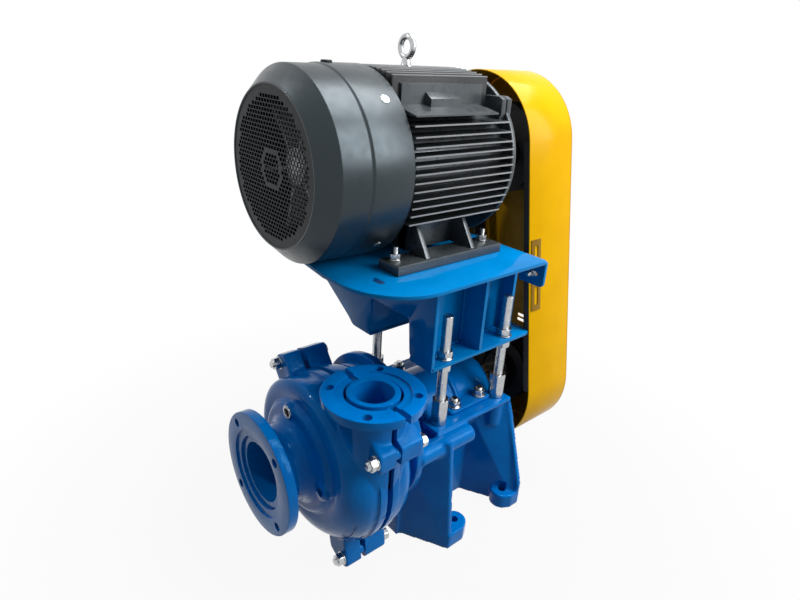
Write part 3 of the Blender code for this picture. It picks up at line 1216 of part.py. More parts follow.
def make_motor_frame():
    """Finned motor frame with its feet."""
    radius = MOTOR_SHELL_RADIUS
    piece = rod("motor_frame", "Y", MOTOR_CENTRE, radius, MOTOR_FRONT, MOTOR_BACK, LARGE_FACETS)
    tools = []
    root = radius * FIN_ROOT_SHARE
    for side in (1, -1):
        for number in range(FIN_SIDE_COUNT):
            share = number / (FIN_SIDE_COUNT - 1)
            z = MOTOR_HEIGHT + FIN_SIDE_TOP - (FIN_SIDE_TOP + FIN_SIDE_BOTTOM) * share
            edges = sorted((MOTOR_X + side * root, MOTOR_X + side * FIN_TIP))
            tools.append(block("fin", edges, (FIN_FRONT, FIN_BACK),
                               (z - FIN_THICKNESS / 2, z + FIN_THICKNESS / 2)))
        panel = []
        for x, z in ((LEDGE_ROOT, LEDGE_LOW), (LEDGE_REACH, LEDGE_LOW), (LEDGE_REACH, LEDGE_HIGH),
                     (PANEL_REACH, LEDGE_BACK_HEIGHT), (PANEL_REACH, PANEL_HIGH), (LEDGE_ROOT, PANEL_HIGH)):
            panel.append((MOTOR_X + side * x, MOTOR_HEIGHT + z))
        tools.append(prism("panel", panel, "Y", PANEL_FRONT, PANEL_BACK))
    for number in range(FIN_TOP_COUNT):
        share = number / (FIN_TOP_COUNT - 1)
        x = MOTOR_X - FIN_TOP_HALF_SPAN + 2 * FIN_TOP_HALF_SPAN * share
        edges = (x - FIN_THICKNESS / 2, x + FIN_THICKNESS / 2)
        tip = FIN_TOP_TIP - FIN_TOP_DROP * (2 * share - 1) ** 2
        tools.append(block("fin", edges, (FIN_FRONT, FIN_BACK),
                           (MOTOR_HEIGHT + root, MOTOR_HEIGHT + tip)))
    pad_top = MOTOR_HEIGHT + FIN_TOP_TIP
    tools.append(rod("eye_pad", "Z", (MOTOR_X, FOOT_CENTRE_Y), EYE_PAD_RADIUS, pad_top - EYE_PAD_RADIUS,
                     pad_top + SINK,
                     SMALL_FACETS))
    front = FOOT_CENTRE_Y - FOOT_LENGTH / 2
    back = FOOT_CENTRE_Y + FOOT_LENGTH / 2
    for side in (1, -1):
        edges = sorted((MOTOR_X + side * (FOOT_HALF_WIDTH - FOOT_PAD_WIDTH),
                        MOTOR_X + side * FOOT_HALF_WIDTH))
        tools.append(block("foot", edges, (front, back), (FOOT_BASE, FOOT_BASE + FOOT_THICKNESS)))
        for share in (FOOT_RIB_SHARE, 1 - FOOT_RIB_SHARE):
            y = front + FOOT_LENGTH * share
            outline = [(MOTOR_X + side * (FOOT_HALF_WIDTH - RIB_FOOT_INSET), FOOT_BASE + SINK),
                       (MOTOR_X + side * RIB_TOP_X, MOTOR_HEIGHT - RIB_TOP_DROP),
                       (MOTOR_X + side * RIB_ROOT_X, MOTOR_HEIGHT - RIB_ROOT_DROP),
                       (MOTOR_X + side * RIB_LOW_X, MOTOR_HEIGHT - RIB_LOW_DROP),
                       (MOTOR_X + side * (FOOT_HALF_WIDTH - FOOT_PAD_WIDTH), FOOT_BASE + SINK)]
            if side < 0:
                outline = outline[::-1]
            tools.append(prism("rib", outline, "Y", y - FOOT_RIB_THICKNESS / 2,
                               y + FOOT_RIB_THICKNESS / 2))
    joined(piece, *tools)
    cutters = [rod("inside", "Y", MOTOR_CENTRE, radius - MOTOR_SHELL_WALL, MOTOR_FRONT - OVERRUN,
                   MOTOR_BACK + OVERRUN,
                   LARGE_FACETS)]
    for side in (1, -1):
        for y in (FOOT_CENTRE_Y - FOOT_HALF_PITCH, FOOT_CENTRE_Y + FOOT_HALF_PITCH):
            place = (MOTOR_X + side * FOOT_HALF_GAUGE, y)
            cutters.append(rod("hole", "Z", place, seated_bore(FOOT_BOLT_RADIUS, ROD_FACETS),
                               FOOT_BASE - OVERRUN,
                               FOOT_BASE + FOOT_THICKNESS + OVERRUN))
    cutters.append(rod("eye_hole", "Z", (MOTOR_X, FOOT_CENTRE_Y),
                       seated_bore(EYE_SHANK_RADIUS, ROD_FACETS),
                       pad_top - EYE_SHANK_LENGTH, pad_top + OVERRUN))
    return cut(piece, *cutters)


def make_foot_bolts():
    """Bolts that hold the motor feet to the platform."""
    pieces = []
    under = PLATFORM_TOP - PLATFORM_THICKNESS - SEAT
    top = FOOT_BASE + FOOT_THICKNESS + SEAT
    number = 0
    for side in (1, -1):
        for y in (FOOT_CENTRE_Y - FOOT_HALF_PITCH, FOOT_CENTRE_Y + FOOT_HALF_PITCH):
            number += 1
            place = (MOTOR_X + side * FOOT_HALF_GAUGE, y)
            nut_low = top + FOOT_WASHER_THICKNESS
            nut_top = nut_low + FOOT_NUT_HEIGHT
            bolt = rod(f"motor_foot_bolt_{number}", "Z", place, FOOT_BOLT_RADIUS, under - SINK,
                       nut_top + FOOT_BOLT_TAIL)
            washer = rod("washer", "Z", place, FOOT_WASHER_RADIUS, top, nut_low, SMALL_FACETS)
            nut = hexagon("nut", "Z", place, FOOT_NUT_ACROSS, nut_low - SEAT, nut_top)
            head = hexagon("head", "Z", place, FOOT_NUT_ACROSS, under - FOOT_NUT_HEIGHT, under)
            pieces.append(joined(bolt, washer, nut, head))
    return pieces


def make_eye_bolt():
    """Lifting eye on top of the motor."""
    base = MOTOR_HEIGHT + FIN_TOP_TIP + SINK + SEAT
    centre_z = MOTOR_HEIGHT + EYE_CENTRE_RISE
    profile = [(0, base - EYE_SHANK_LENGTH + SINK), (EYE_SHANK_RADIUS, base - EYE_SHANK_LENGTH + SINK),
               (EYE_SHANK_RADIUS, base), (EYE_COLLAR_RADIUS, base),
               (EYE_COLLAR_RADIUS, base + EYE_COLLAR_HEIGHT),
               (EYE_SHANK_RADIUS, centre_z - EYE_RING_RADIUS), (0, centre_z - EYE_RING_RADIUS)]
    piece = turned("eye_bolt", profile, "Z", (MOTOR_X, FOOT_CENTRE_Y), ROD_FACETS)
    ring_profile = []
    for step in range(ROD_FACETS):
        angle = 2 * math.pi * step / ROD_FACETS
        ring_profile.append((EYE_RING_RADIUS + EYE_WIRE_RADIUS * math.cos(angle),
                             FOOT_CENTRE_Y + EYE_WIRE_RADIUS * math.sin(angle)))
    ring = turned("ring", ring_profile, "Y", (MOTOR_X, centre_z), SMALL_FACETS)
    return joined(piece, ring)


def make_stator():
    """Wound stator core pressed in the frame."""
    middle = (MOTOR_FRONT + MOTOR_BACK) / 2
    low = middle - STATOR_LENGTH / 2
    high = middle + STATOR_LENGTH / 2
    outer = (MOTOR_SHELL_RADIUS - MOTOR_SHELL_WALL) * math.cos(math.pi / LARGE_FACETS) - SEAT
    winding = (outer + STATOR_BORE_RADIUS) / 2
    length = STATOR_LENGTH / 8
    bore = STATOR_BORE_RADIUS
    profile = [(bore, low), (bore, high), (bore + SINK, high + length), (winding, high + length),
               (winding, high),
               (outer, high), (outer, low), (winding, low), (winding, low - length),
               (bore + SINK, low - length)]
    return turned("stator", profile, "Y", MOTOR_CENTRE, MIDDLE_FACETS)


def end_shield(name, face, outward, rim):
    """Motor end shield: spigot, dished disc and bearing hub."""
    shaft = clear_bore(MOTOR_SHAFT_BEARING_RADIUS, MIDDLE_FACETS, RUNNING_GAP / 4)
    spigot = (MOTOR_SHELL_RADIUS - MOTOR_SHELL_WALL) * math.cos(math.pi / LARGE_FACETS) - SEAT
    seat = face + outward * SEAT
    back = seat + outward * SHIELD_THICKNESS
    pocket = MOTOR_BEARING_RADIUS
    inside = face - outward * SHIELD_SPIGOT
    hub = seat - outward * SHIELD_HUB_LENGTH + outward * SHIELD_THICKNESS / 2
    floor = back - outward * SHIELD_SPIGOT
    profile = [(spigot, inside), (spigot, seat), (rim, seat),
               (rim, seat + outward * SHIELD_THICKNESS / 2),
               (SHIELD_HUB_RADIUS, back), (shaft, back),
               (shaft, floor), (pocket, floor), (pocket, hub), (SHIELD_HUB_RADIUS, hub),
               (SHIELD_HUB_RADIUS, inside)]
    return turned(name, profile, "Y", MOTOR_CENTRE, MIDDLE_FACETS)


def make_end_shields():
    """The shield at the drive end stands out past the shell, the one under the cowl does not."""
    return [end_shield("drive_end_shield", MOTOR_BACK, 1, DRIVE_SHIELD_RADIUS),
            end_shield("fan_end_shield", MOTOR_FRONT, -1, MOTOR_SHELL_RADIUS)]


def motor_bearing_start(face, outward):
    """Lower end along Y of a motor bearing in its shield."""
    floor = face + outward * (SEAT + SHIELD_THICKNESS - SHIELD_SPIGOT - SEAT)
    return floor - MOTOR_BEARING_WIDTH - SEAT if outward > 0 else floor + SEAT


def make_motor_bearings():
    """Bearing at each end of the motor."""
    return [bearing("motor_bearing_rear", motor_bearing_start(MOTOR_BACK, 1), MOTOR_BEARING_WIDTH,
                    MOTOR_SHAFT_BEARING_RADIUS, MOTOR_BEARING_RADIUS, MOTOR_CENTRE),
            bearing("motor_bearing_front", motor_bearing_start(MOTOR_FRONT, -1), MOTOR_BEARING_WIDTH,
                    MOTOR_SHAFT_BEARING_RADIUS, MOTOR_BEARING_RADIUS, MOTOR_CENTRE)]


def make_motor_shaft():
    """Motor shaft from the fan to the pulley."""
    front_seat = motor_bearing_start(MOTOR_FRONT, -1) + MOTOR_BEARING_WIDTH
    back_seat = motor_bearing_start(MOTOR_BACK, 1)
    fan_start = MOTOR_FRONT - SHIELD_THICKNESS - OVERRUN
    shield_out = MOTOR_BACK + SHIELD_THICKNESS + OVERRUN
    profile = [(0, FAN_FRONT), (MOTOR_SHAFT_FAN_RADIUS, FAN_FRONT), (MOTOR_SHAFT_FAN_RADIUS, fan_start),
               (MOTOR_SHAFT_BEARING_RADIUS, fan_start), (MOTOR_SHAFT_BEARING_RADIUS, front_seat + SEAT),
               (MOTOR_SHAFT_BODY_RADIUS, front_seat + SEAT), (MOTOR_SHAFT_BODY_RADIUS, back_seat - SEAT),
               (MOTOR_SHAFT_BEARING_RADIUS, back_seat - SEAT), (MOTOR_SHAFT_BEARING_RADIUS, shield_out),
               (MOTOR_SHAFT_END_RADIUS, shield_out), (MOTOR_SHAFT_END_RADIUS, SHAFT_END), (0, SHAFT_END)]
    return turned("motor_shaft", profile, "Y", MOTOR_CENTRE, MIDDLE_FACETS)


def make_rotor():
    """Cage rotor on the motor shaft."""
    middle = (MOTOR_FRONT + MOTOR_BACK) / 2
    inner = seated_bore(MOTOR_SHAFT_BODY_RADIUS, MIDDLE_FACETS)
    low = middle - ROTOR_LENGTH / 2
    high = middle + ROTOR_LENGTH / 2
    profile = [(inner, low), (ROTOR_RADIUS, low), (ROTOR_RADIUS, high), (inner, high)]
    return turned("rotor_core", profile, "Y", MOTOR_CENTRE, MIDDLE_FACETS)


def make_cooling_fan():
    """Fan behind the grille: disc, hub and flat blades."""
    bore = seated_bore(MOTOR_SHAFT_FAN_RADIUS, MIDDLE_FACETS)
    disc_front = FAN_BACK - FAN_DISC_THICKNESS
    profile = [(bore, FAN_FRONT), (FAN_HUB_RADIUS, FAN_FRONT), (FAN_HUB_RADIUS, disc_front),
               (FAN_RADIUS, disc_front), (FAN_RADIUS, FAN_BACK), (bore, FAN_BACK)]
    piece = turned("cooling_fan", profile, "Y", MOTOR_CENTRE, MIDDLE_FACETS)
    blades = []
    half = FAN_BLADE_THICKNESS / 2
    for number in range(FAN_BLADE_COUNT):
        angle = 2 * math.pi * number / FAN_BLADE_COUNT
        turn = Matrix.Rotation(angle, 2)
        outline = []
        for point in rectangle(FAN_HUB_RADIUS - SINK, FAN_RADIUS - SINK, -half, half):
            moved = turn @ Vector(point)
            outline.append((MOTOR_X + moved.x, MOTOR_HEIGHT + moved.y))
        blades.append(prism("blade", outline, "Y", FAN_FRONT + SINK, disc_front + SINK))
    return joined(piece, *blades)


def grille_openings():
    """Square openings of the grille, in staggered rows, outside and inside a plain ring."""
    openings = []
    half = (GRILLE_PITCH - GRILLE_BAR) / 2
    rows = int(GRILLE_RADIUS / GRILLE_PITCH) + 1
    for row in range(-rows, rows + 1):
        for column in range(-rows - 1, rows + 2):
            x = (column + (row % 2) / 2) * GRILLE_PITCH
            z = row * GRILLE_PITCH
            corner = math.hypot(abs(x) + half, abs(z) + half)
            near = math.hypot(x, z)
            if corner > GRILLE_RADIUS:
                continue
            if GRILLE_RING_INNER - half < near < GRILLE_RING_OUTER + half:
                continue
            openings.append((MOTOR_X + x, MOTOR_HEIGHT + z, half))
    return openings


def make_fan_cowl():
    """Pressed cowl over the fan, with a perforated end."""
    wall = COWL_WALL
    bead = COWL_BEAD_RISE
    half = COWL_BEAD_WIDTH / 2
    inner = COWL_RADIUS - wall
    profile = [(0, COWL_FRONT), (COWL_GRILLE_RADIUS, COWL_FRONT), (COWL_RADIUS, COWL_SHOULDER_Y),
               (COWL_RADIUS, COWL_BEAD_Y - half), (COWL_RADIUS + bead, COWL_BEAD_Y),
               (COWL_RADIUS, COWL_BEAD_Y + half),
               (COWL_RADIUS, COWL_BACK), (inner, COWL_BACK), (inner, COWL_SHOULDER_Y + wall / 2),
               (COWL_GRILLE_RADIUS - wall, COWL_FRONT + wall), (0, COWL_FRONT + wall)]
    piece = turned("fan_cowl", profile, "Y", MOTOR_CENTRE)
    shape = bmesh.new()
    for x, z, reach in grille_openings():
        ends = []
        for y in (COWL_FRONT - OVERRUN, COWL_FRONT + OVERRUN):
            ends.append([shape.verts.new((a, y, b))
                         for a, b in rectangle(x - reach, x + reach, z - reach, z + reach)])
        shape.faces.new(ends[0])
        shape.faces.new(ends[1][::-1])
        for step in range(4):
            after = (step + 1) % 4
            shape.faces.new((ends[0][after], ends[0][step], ends[1][step], ends[1][after]))
    return cut(piece, mesh_object("openings", shape))


def make_terminal_box():
    """Open box for the motor leads, on the far side of the frame, with a flat lid."""
    outer = MOTOR_X - FIN_TIP - TERMINAL_REACH
    z = MOTOR_HEIGHT + TERMINAL_CENTRE_Z
    y = FOOT_CENTRE_Y
    back = MOTOR_X - FIN_TIP - SEAT
    box = block("terminal_box", (outer, back), (y - TERMINAL_HALF_LENGTH, y + TERMINAL_HALF_LENGTH),
                (z - TERMINAL_HALF_HEIGHT, z + TERMINAL_HALF_HEIGHT))
    inner_y = TERMINAL_HALF_LENGTH - TERMINAL_WALL
    inner_z = TERMINAL_HALF_HEIGHT - TERMINAL_WALL
    cut(box, block("inside", (outer - OVERRUN, back - TERMINAL_WALL), (y - inner_y, y + inner_y),
                   (z - inner_z, z + inner_z)))
    lid_outline = rounded_rectangle(y - TERMINAL_HALF_LENGTH, y + TERMINAL_HALF_LENGTH,
                                    z - TERMINAL_HALF_HEIGHT,
                                    z + TERMINAL_HALF_HEIGHT, (TERMINAL_WALL,) * 4, 2)
    lid = prism("terminal_lid", lid_outline, "X", outer - SEAT - TERMINAL_LID, outer - SEAT)
    return [box, lid]


def pulley(name, radius, bore_radius, centre):
    """Grooved pulley with a dished front face and a hub."""
    front = PULLEY_FRONT
    back = front + PULLEY_WIDTH
    bore = seated_bore(bore_radius, MIDDLE_FACETS)
    middle = (front + back) / 2
    rim_inner = radius - GROOVE_DEPTH - PULLEY_RIM_WALL
    profile = [(bore, front - PULLEY_HUB_LENGTH), (PULLEY_HUB_RADIUS, front - PULLEY_HUB_LENGTH),
               (PULLEY_HUB_RADIUS, front + PULLEY_RECESS), (rim_inner, front + PULLEY_RECESS),
               (rim_inner, front),
               (radius, front)]
    for number in range(BELT_COUNT):
        groove = middle + (number - (BELT_COUNT - 1) / 2) * BELT_PITCH
        profile += [(radius, groove - GROOVE_HALF_TOP),
                    (radius - GROOVE_DEPTH, groove - GROOVE_HALF_BOTTOM),
                    (radius - GROOVE_DEPTH, groove + GROOVE_HALF_BOTTOM),
                    (radius, groove + GROOVE_HALF_TOP)]
    profile += [(radius, back), (bore, back)]
    return turned(name, profile, "Y", centre, MIDDLE_FACETS)


def belt_loop(outset, steps):
    """Outline round both pulleys, at an outset from each pulley rim."""
    first = Vector(SHAFT_CENTRE)
    second = Vector(MOTOR_CENTRE)
    run = second - first
    lean = math.degrees(math.atan2(run.y, run.x))
    low_radius = PUMP_PULLEY_RADIUS + outset
    high_radius = MOTOR_PULLEY_RADIUS + outset
    spread = math.degrees(math.acos((low_radius - high_radius) / run.length))
    top = arc(MOTOR_CENTRE, high_radius, lean - spread, lean + spread, steps)
    bottom = arc(SHAFT_CENTRE, low_radius, lean + spread, lean + 360 - spread, steps)
    return top + bottom


def make_belts():
    """Three V belts, each a closed loop with tapered sides."""
    middle = PULLEY_FRONT + PULLEY_WIDTH / 2
    slope = (GROOVE_HALF_TOP - GROOVE_HALF_BOTTOM) / GROOVE_DEPTH
    side_gap = SEAT * 2
    half_top = GROOVE_HALF_TOP - side_gap
    half_bottom = half_top - slope * BELT_HEIGHT
    steps = 8
    outer = belt_loop(BELT_PROUD, steps)
    inner = belt_loop(BELT_PROUD - BELT_HEIGHT, steps)
    pieces = []
    for number in range(BELT_COUNT):
        y = middle + (number - (BELT_COUNT - 1) / 2) * BELT_PITCH
        shape = bmesh.new()
        loops = []
        for outline, half in ((outer, half_top), (inner, half_bottom)):
            for side in (-1, 1):
                loops.append([shape.verts.new((x, y + side * half, z)) for x, z in outline])
        order = [loops[0], loops[1], loops[3], loops[2]]
        count = len(outer)
        for first, second in zip(order, order[1:] + order[:1]):
            for step in range(count):
                after = (step + 1) % count
                shape.faces.new((first[step], first[after], second[after], second[step]))
        pieces.append(mesh_object(f"belt_{number + 1}", shape))
    return pieces


def guard_outline(radius, steps=12):
    """Long outline with round ends, tilted from the pump shaft up to the motor."""
    low = Vector((0, GUARD_LOW_Z))
    high = Vector((-GUARD_TOP_X, GUARD_TOP_Z))
    run = high - low
    lean = math.degrees(math.atan2(run.y, run.x))
    top = arc(high, radius, lean - 90, lean + 90, steps)
    bottom = arc(low, radius, lean + 90, lean + 270, steps)
    return top + bottom


def make_belt_guard():
    """Sheet guard: a wrap-round band with a back plate, open towards the motor."""
    sheet = GUARD_SHEET
    piece = prism("belt_guard", guard_outline(GUARD_RADIUS), "Y", GUARD_FRONT, GUARD_BACK)
    inside = prism("inside", guard_outline(GUARD_RADIUS - sheet), "Y", GUARD_FRONT - OVERRUN,
                   GUARD_BACK - sheet)
    reach = GUARD_RADIUS * 2
    notch = block("notch", (0, reach), (GUARD_FRONT - OVERRUN, GUARD_FRONT + GUARD_NOTCH_DEPTH),
                  (GUARD_NOTCH_LOW, GUARD_NOTCH_HIGH))
    cutters = [inside, notch]
    back_low = GUARD_BACK - sheet - OVERRUN
    for across, share in VENT_SHARES:
        place = (across * GUARD_RADIUS / 3, SHAFT_HEIGHT + GUARD_RADIUS * share)
        cutters.append(prism("vent", slot_outline(place, VENT_LENGTH, VENT_WIDTH, steps=3), "Y", back_low,
                             GUARD_BACK + OVERRUN))
    return cut(piece, *cutters)


def guard_edge_x(z):
    """X of the inner face of the guard band on its +X straight side, at a height."""
    low = Vector((0, GUARD_LOW_Z))
    high = Vector((-GUARD_TOP_X, GUARD_TOP_Z))
    run = (high - low).normalized()
    along = (z - low.y) / run.y
    straight = low.x + run.x * along
    return straight + (GUARD_RADIUS - GUARD_SHEET) / run.y


def make_guard_bracket():
    """Slotted strip behind the notch, with a tab that meets the lip of the platform."""
    low = GUARD_NOTCH_LOW
    high = GUARD_NOTCH_HIGH
    thick = BRACKET_THICKNESS
    clear = SEAT * 2
    face_low = guard_edge_x(low) - clear
    face_high = guard_edge_x(high) - clear
    y_low = PLATFORM_BACK + SEAT
    y_high = GUARD_FRONT + GUARD_NOTCH_DEPTH + BRACKET_TAB_WIDTH / 2
    shape = bmesh.new()
    corners = [(face_low - thick, low), (face_low, low), (face_high, high), (face_high - thick, high)]
    ends = []
    for y in (GUARD_FRONT + BRACKET_SETBACK, y_high):
        ends.append([shape.verts.new((x, y, z)) for x, z in corners])
    shape.faces.new(ends[0])
    shape.faces.new(ends[1])
    for step in range(4):
        after = (step + 1) % 4
        shape.faces.new((ends[0][step], ends[0][after], ends[1][after], ends[1][step]))
    piece = mesh_object("guard_bracket", shape)
    tab_low = PLATFORM_TOP - PLATFORM_LIP
    tab_high = PLATFORM_TOP - PLATFORM_THICKNESS
    tab_right = guard_edge_x(tab_high) - clear
    tab_left = PLATFORM_RIGHT - PLATFORM_LIP_LENGTH
    arm = block("arm", (tab_left, tab_left + thick), (y_low, GUARD_FRONT + GUARD_NOTCH_DEPTH),
                (tab_low, tab_high))
    tab = block("tab", (tab_left, tab_left + BRACKET_TAB_WIDTH), (y_low, y_low + thick),
                (tab_low, tab_high))
    foot_y = GUARD_FRONT + GUARD_NOTCH_DEPTH
    bridge = block("bridge", sorted((tab_left, tab_right - thick / 2)), (foot_y - thick, foot_y),
                   (tab_low, tab_high))
    joined(piece, bridge, arm, tab)
    cutters = []
    reach = GUARD_RADIUS
    span = (high - low) / 4
    for side in (-1, 1):
        place = (BRACKET_SLOT_Y, (low + high) / 2 + side * span)
        outline = slot_outline(place, BRACKET_SLOT_LENGTH, BRACKET_SLOT_WIDTH, upright=True, steps=3)
        cutters.append(prism("slot", outline, "X", tab_right - reach / 4, tab_right + reach / 4))
    return cut(piece, *cutters)


COLOURS = {
    "blue": ((0.004, 0.150, 0.520), 0.32, 0.0),
    "yellow": ((0.870, 0.440, 0.005), 0.35, 0.0),
    "motor": ((0.024, 0.030, 0.032), 0.42, 0.1),
    "cowl": ((0.032, 0.040, 0.044), 0.36, 0.2),
    "zinc": ((0.560, 0.570, 0.580), 0.32, 1.0),
    "steel": ((0.420, 0.430, 0.440), 0.34, 1.0),
    "liner": ((0.060, 0.150, 0.340), 0.40, 0.3),
    "black": ((0.012, 0.012, 0.013), 0.50, 0.1),
    "rubber": ((0.010, 0.010, 0.010), 0.70, 0.0),
    "copper": ((0.420, 0.160, 0.060), 0.40, 1.0),
    "packing": ((0.320, 0.280, 0.200), 0.85, 0.0),
}


def extents(pieces):
    """Lowest and highest corner of the whole set, while every piece is still drawn in place."""
    points = [vertex.co for piece in pieces for vertex in piece.data.vertices]
    low = Vector([min(point[axis] for point in points) for axis in range(3)])
    high = Vector([max(point[axis] for point in points) for axis in range(3)])
    return low, high


def main():
    clear_scene()
    root = bpy.data.objects.new("pump_set", None)
    bpy.context.collection.objects.link(root)
    pump_axle = Vector((0, PULLEY_FRONT, SHAFT_HEIGHT))
    motor_axle = Vector((MOTOR_X, PULLEY_FRONT, MOTOR_HEIGHT))
    still = Vector((0, 0, 0))
    plan = [
        ("blue", still, [make_base_frame(), make_housing(), make_cover_plate(), make_frame_plate(),
                         make_motor_stand()]),
        ("blue", still, [housing_cover("housing_cover_front", HOUSING_FRONT, -1),
                         housing_cover("housing_cover_rear", HOUSING_BACK, 1)]),
        ("liner", still,
         [make_volute_liner(), make_throat_bush(), make_insert(), make_stuffing_box(), make_gland()]),
        ("packing", still, [make_packing()]),
        ("steel", still, make_pump_bearings() + make_motor_bearings()),
        ("zinc", still, make_casing_bolts() + make_clamp_bolts() + make_standoffs() + make_studs()
         + make_foot_bolts() + [make_eye_bolt()]),
        ("motor", still, [make_motor_frame()] + make_end_shields() + make_terminal_box()),
        ("cowl", still, [make_fan_cowl()]),
        ("copper", still, [make_stator()]),
        ("rubber", still, make_belts()),
        ("yellow", still, [make_belt_guard(), make_guard_bracket()]),
        ("steel", pump_axle, [make_pump_shaft(), make_impeller(), make_sleeve()]),
        ("black", pump_axle,
         [pulley("pump_pulley", PUMP_PULLEY_RADIUS, SHAFT_PULLEY_RADIUS, SHAFT_CENTRE)]),
        ("steel", motor_axle, [make_motor_shaft(), make_rotor()]),
        ("black", motor_axle, [make_cooling_fan(),
                               pulley("motor_pulley", MOTOR_PULLEY_RADIUS, MOTOR_SHAFT_END_RADIUS,
                                      MOTOR_CENTRE)]),
    ]
    low, high = extents([piece for colour, origin, pieces in plan for piece in pieces])
    root.location = (-(low.x + high.x) / 2, -(low.y + high.y) / 2, -low.z)
    for colour, origin, pieces in plan:
        material = make_material(colour, *COLOURS[colour])
        for piece in pieces:
            piece.data.transform(Matrix.Translation(-origin))
            piece.location = origin
            piece.parent = root
            piece.data.materials.clear()
            piece.data.materials.append(material)
            piece.data.shade_smooth()
            piece.data.set_sharp_from_angle(angle=math.radians(SMOOTH_ANGLE))


main()
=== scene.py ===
# %% [markdown]
# This script dresses a slurry pump set for its studio picture. The real set is a cast pump with
# a split casing, a motor that rides above it on a welded stand, and a belt drive under a long
# yellow guard. The solids that move are loaded first as a frame. Each cell then makes one
# visible piece as a smooth surface in the same place and gives it its finish.

import math

import bmesh
import bpy
import numpy as np
from mathutils import Matrix, Vector
from mathutils.geometry import delaunay_2d_cdt


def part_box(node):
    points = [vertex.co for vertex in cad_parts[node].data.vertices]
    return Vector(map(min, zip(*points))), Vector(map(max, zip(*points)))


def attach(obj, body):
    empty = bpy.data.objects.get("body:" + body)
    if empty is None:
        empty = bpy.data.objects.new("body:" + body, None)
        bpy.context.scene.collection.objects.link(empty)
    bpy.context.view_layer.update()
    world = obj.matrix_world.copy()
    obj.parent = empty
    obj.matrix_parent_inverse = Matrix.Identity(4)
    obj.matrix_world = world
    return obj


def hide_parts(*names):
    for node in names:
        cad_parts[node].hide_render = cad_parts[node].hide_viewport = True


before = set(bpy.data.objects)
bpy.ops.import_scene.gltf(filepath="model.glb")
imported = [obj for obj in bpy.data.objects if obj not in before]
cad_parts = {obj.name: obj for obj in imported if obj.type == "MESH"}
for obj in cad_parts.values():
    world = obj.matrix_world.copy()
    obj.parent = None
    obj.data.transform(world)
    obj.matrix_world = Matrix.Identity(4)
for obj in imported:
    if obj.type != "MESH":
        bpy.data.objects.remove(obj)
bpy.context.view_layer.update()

# %% [markdown]
# Every size below is in millimetres, in the pump's own coordinates, because they are the ones
# that a maker measures in: X across, Y along the pump shaft from the suction face, Z up from the
# floor. Blender works in metres, and the frame keeps its origin under the middle of the whole
# set, so one scale and one shift join the two. The shift is read from two solids, the shaft for
# X and the suction flange for Y.

# %% Find the shift between the two sets of coordinates
MM = 0.001
shaft_low, shaft_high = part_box("pump_shaft")
flange_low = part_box("cover_plate")[0]
SHIFT = np.array([(shaft_low[0] + shaft_high[0]) / 2, flange_low[1], 0.0])
SHAFT = (0.0, 254.0)
MOTOR = MOTOR_X, MOTOR_Z = (-87.3, 821.0)
print("shift", SHIFT)

# %% [markdown]
# The camera comes first, so that each piece can be judged from where the photographer stood.
# Its place and turn were worked out from the round flanges and the long straight edges: it
# stands off the front right corner, looks down by 23.6 degrees and leans by 3.4 degrees.

# %% Place the camera
YAW, PITCH, ROLL = np.radians([48.68, -23.56, 3.38])
STANDPOINT = np.array([836.47, -390.31, 1027.58])
FOCAL_PIXELS, WIDTH_PIXELS, SENSOR = 575.15, 800, 36
level = math.cos(PITCH)
forward = np.array([-math.sin(YAW) * level, math.cos(YAW) * level, math.sin(PITCH)])
right = np.array([math.cos(YAW), math.sin(YAW), 0.0])
up = np.cross(right, forward)
across = math.cos(ROLL) * right + math.sin(ROLL) * up
upright = math.cos(ROLL) * up - math.sin(ROLL) * right
camera_data = bpy.data.cameras.new("photo_camera")
camera_data.lens = FOCAL_PIXELS / WIDTH_PIXELS * SENSOR
camera_data.sensor_width = SENSOR
camera_data.clip_start = 0.01
camera = bpy.data.objects.new("photo_camera", camera_data)
bpy.context.collection.objects.link(camera)
turn = Matrix((Vector(across), Vector(upright), Vector(-forward))).transposed().to_4x4()
camera.matrix_world = Matrix.Translation(Vector(STANDPOINT * MM + SHIFT)) @ turn
bpy.context.scene.camera = camera
print("camera at", [round(value, 3) for value in camera.location])

# %% [markdown]
# A finish is a small network of shader nodes. Written node by node it hides its own idea, so a
# thin wrapper lets the maths be written as an expression: adding, multiplying or subtracting two
# wires makes the Math node and gives the next wire.

# %% Shader wires
class Wire:
    """The output of one node, with arithmetic that adds Math nodes."""

    def __init__(self, network, socket):
        self.network = network
        self.socket = socket

    def maths(self, operation, first, second):
        return self.network.node("ShaderNodeMath", {"operation": operation}, {0: first, 1: second})

    def __add__(self, other):
        return self.maths("ADD", self, other)

    def __sub__(self, other):
        return self.maths("SUBTRACT", self, other)

    def __rsub__(self, other):
        return self.maths("SUBTRACT", other, self)

    def __mul__(self, other):
        return self.maths("MULTIPLY", self, other)

    __radd__ = __add__
    __rmul__ = __mul__

    def __abs__(self):
        return self.network.node("ShaderNodeMath", {"operation": "ABSOLUTE"}, {0: self})

    def beside(self, name):
        """Another output of the same node."""
        return Wire(self.network, self.socket.node.outputs[name])


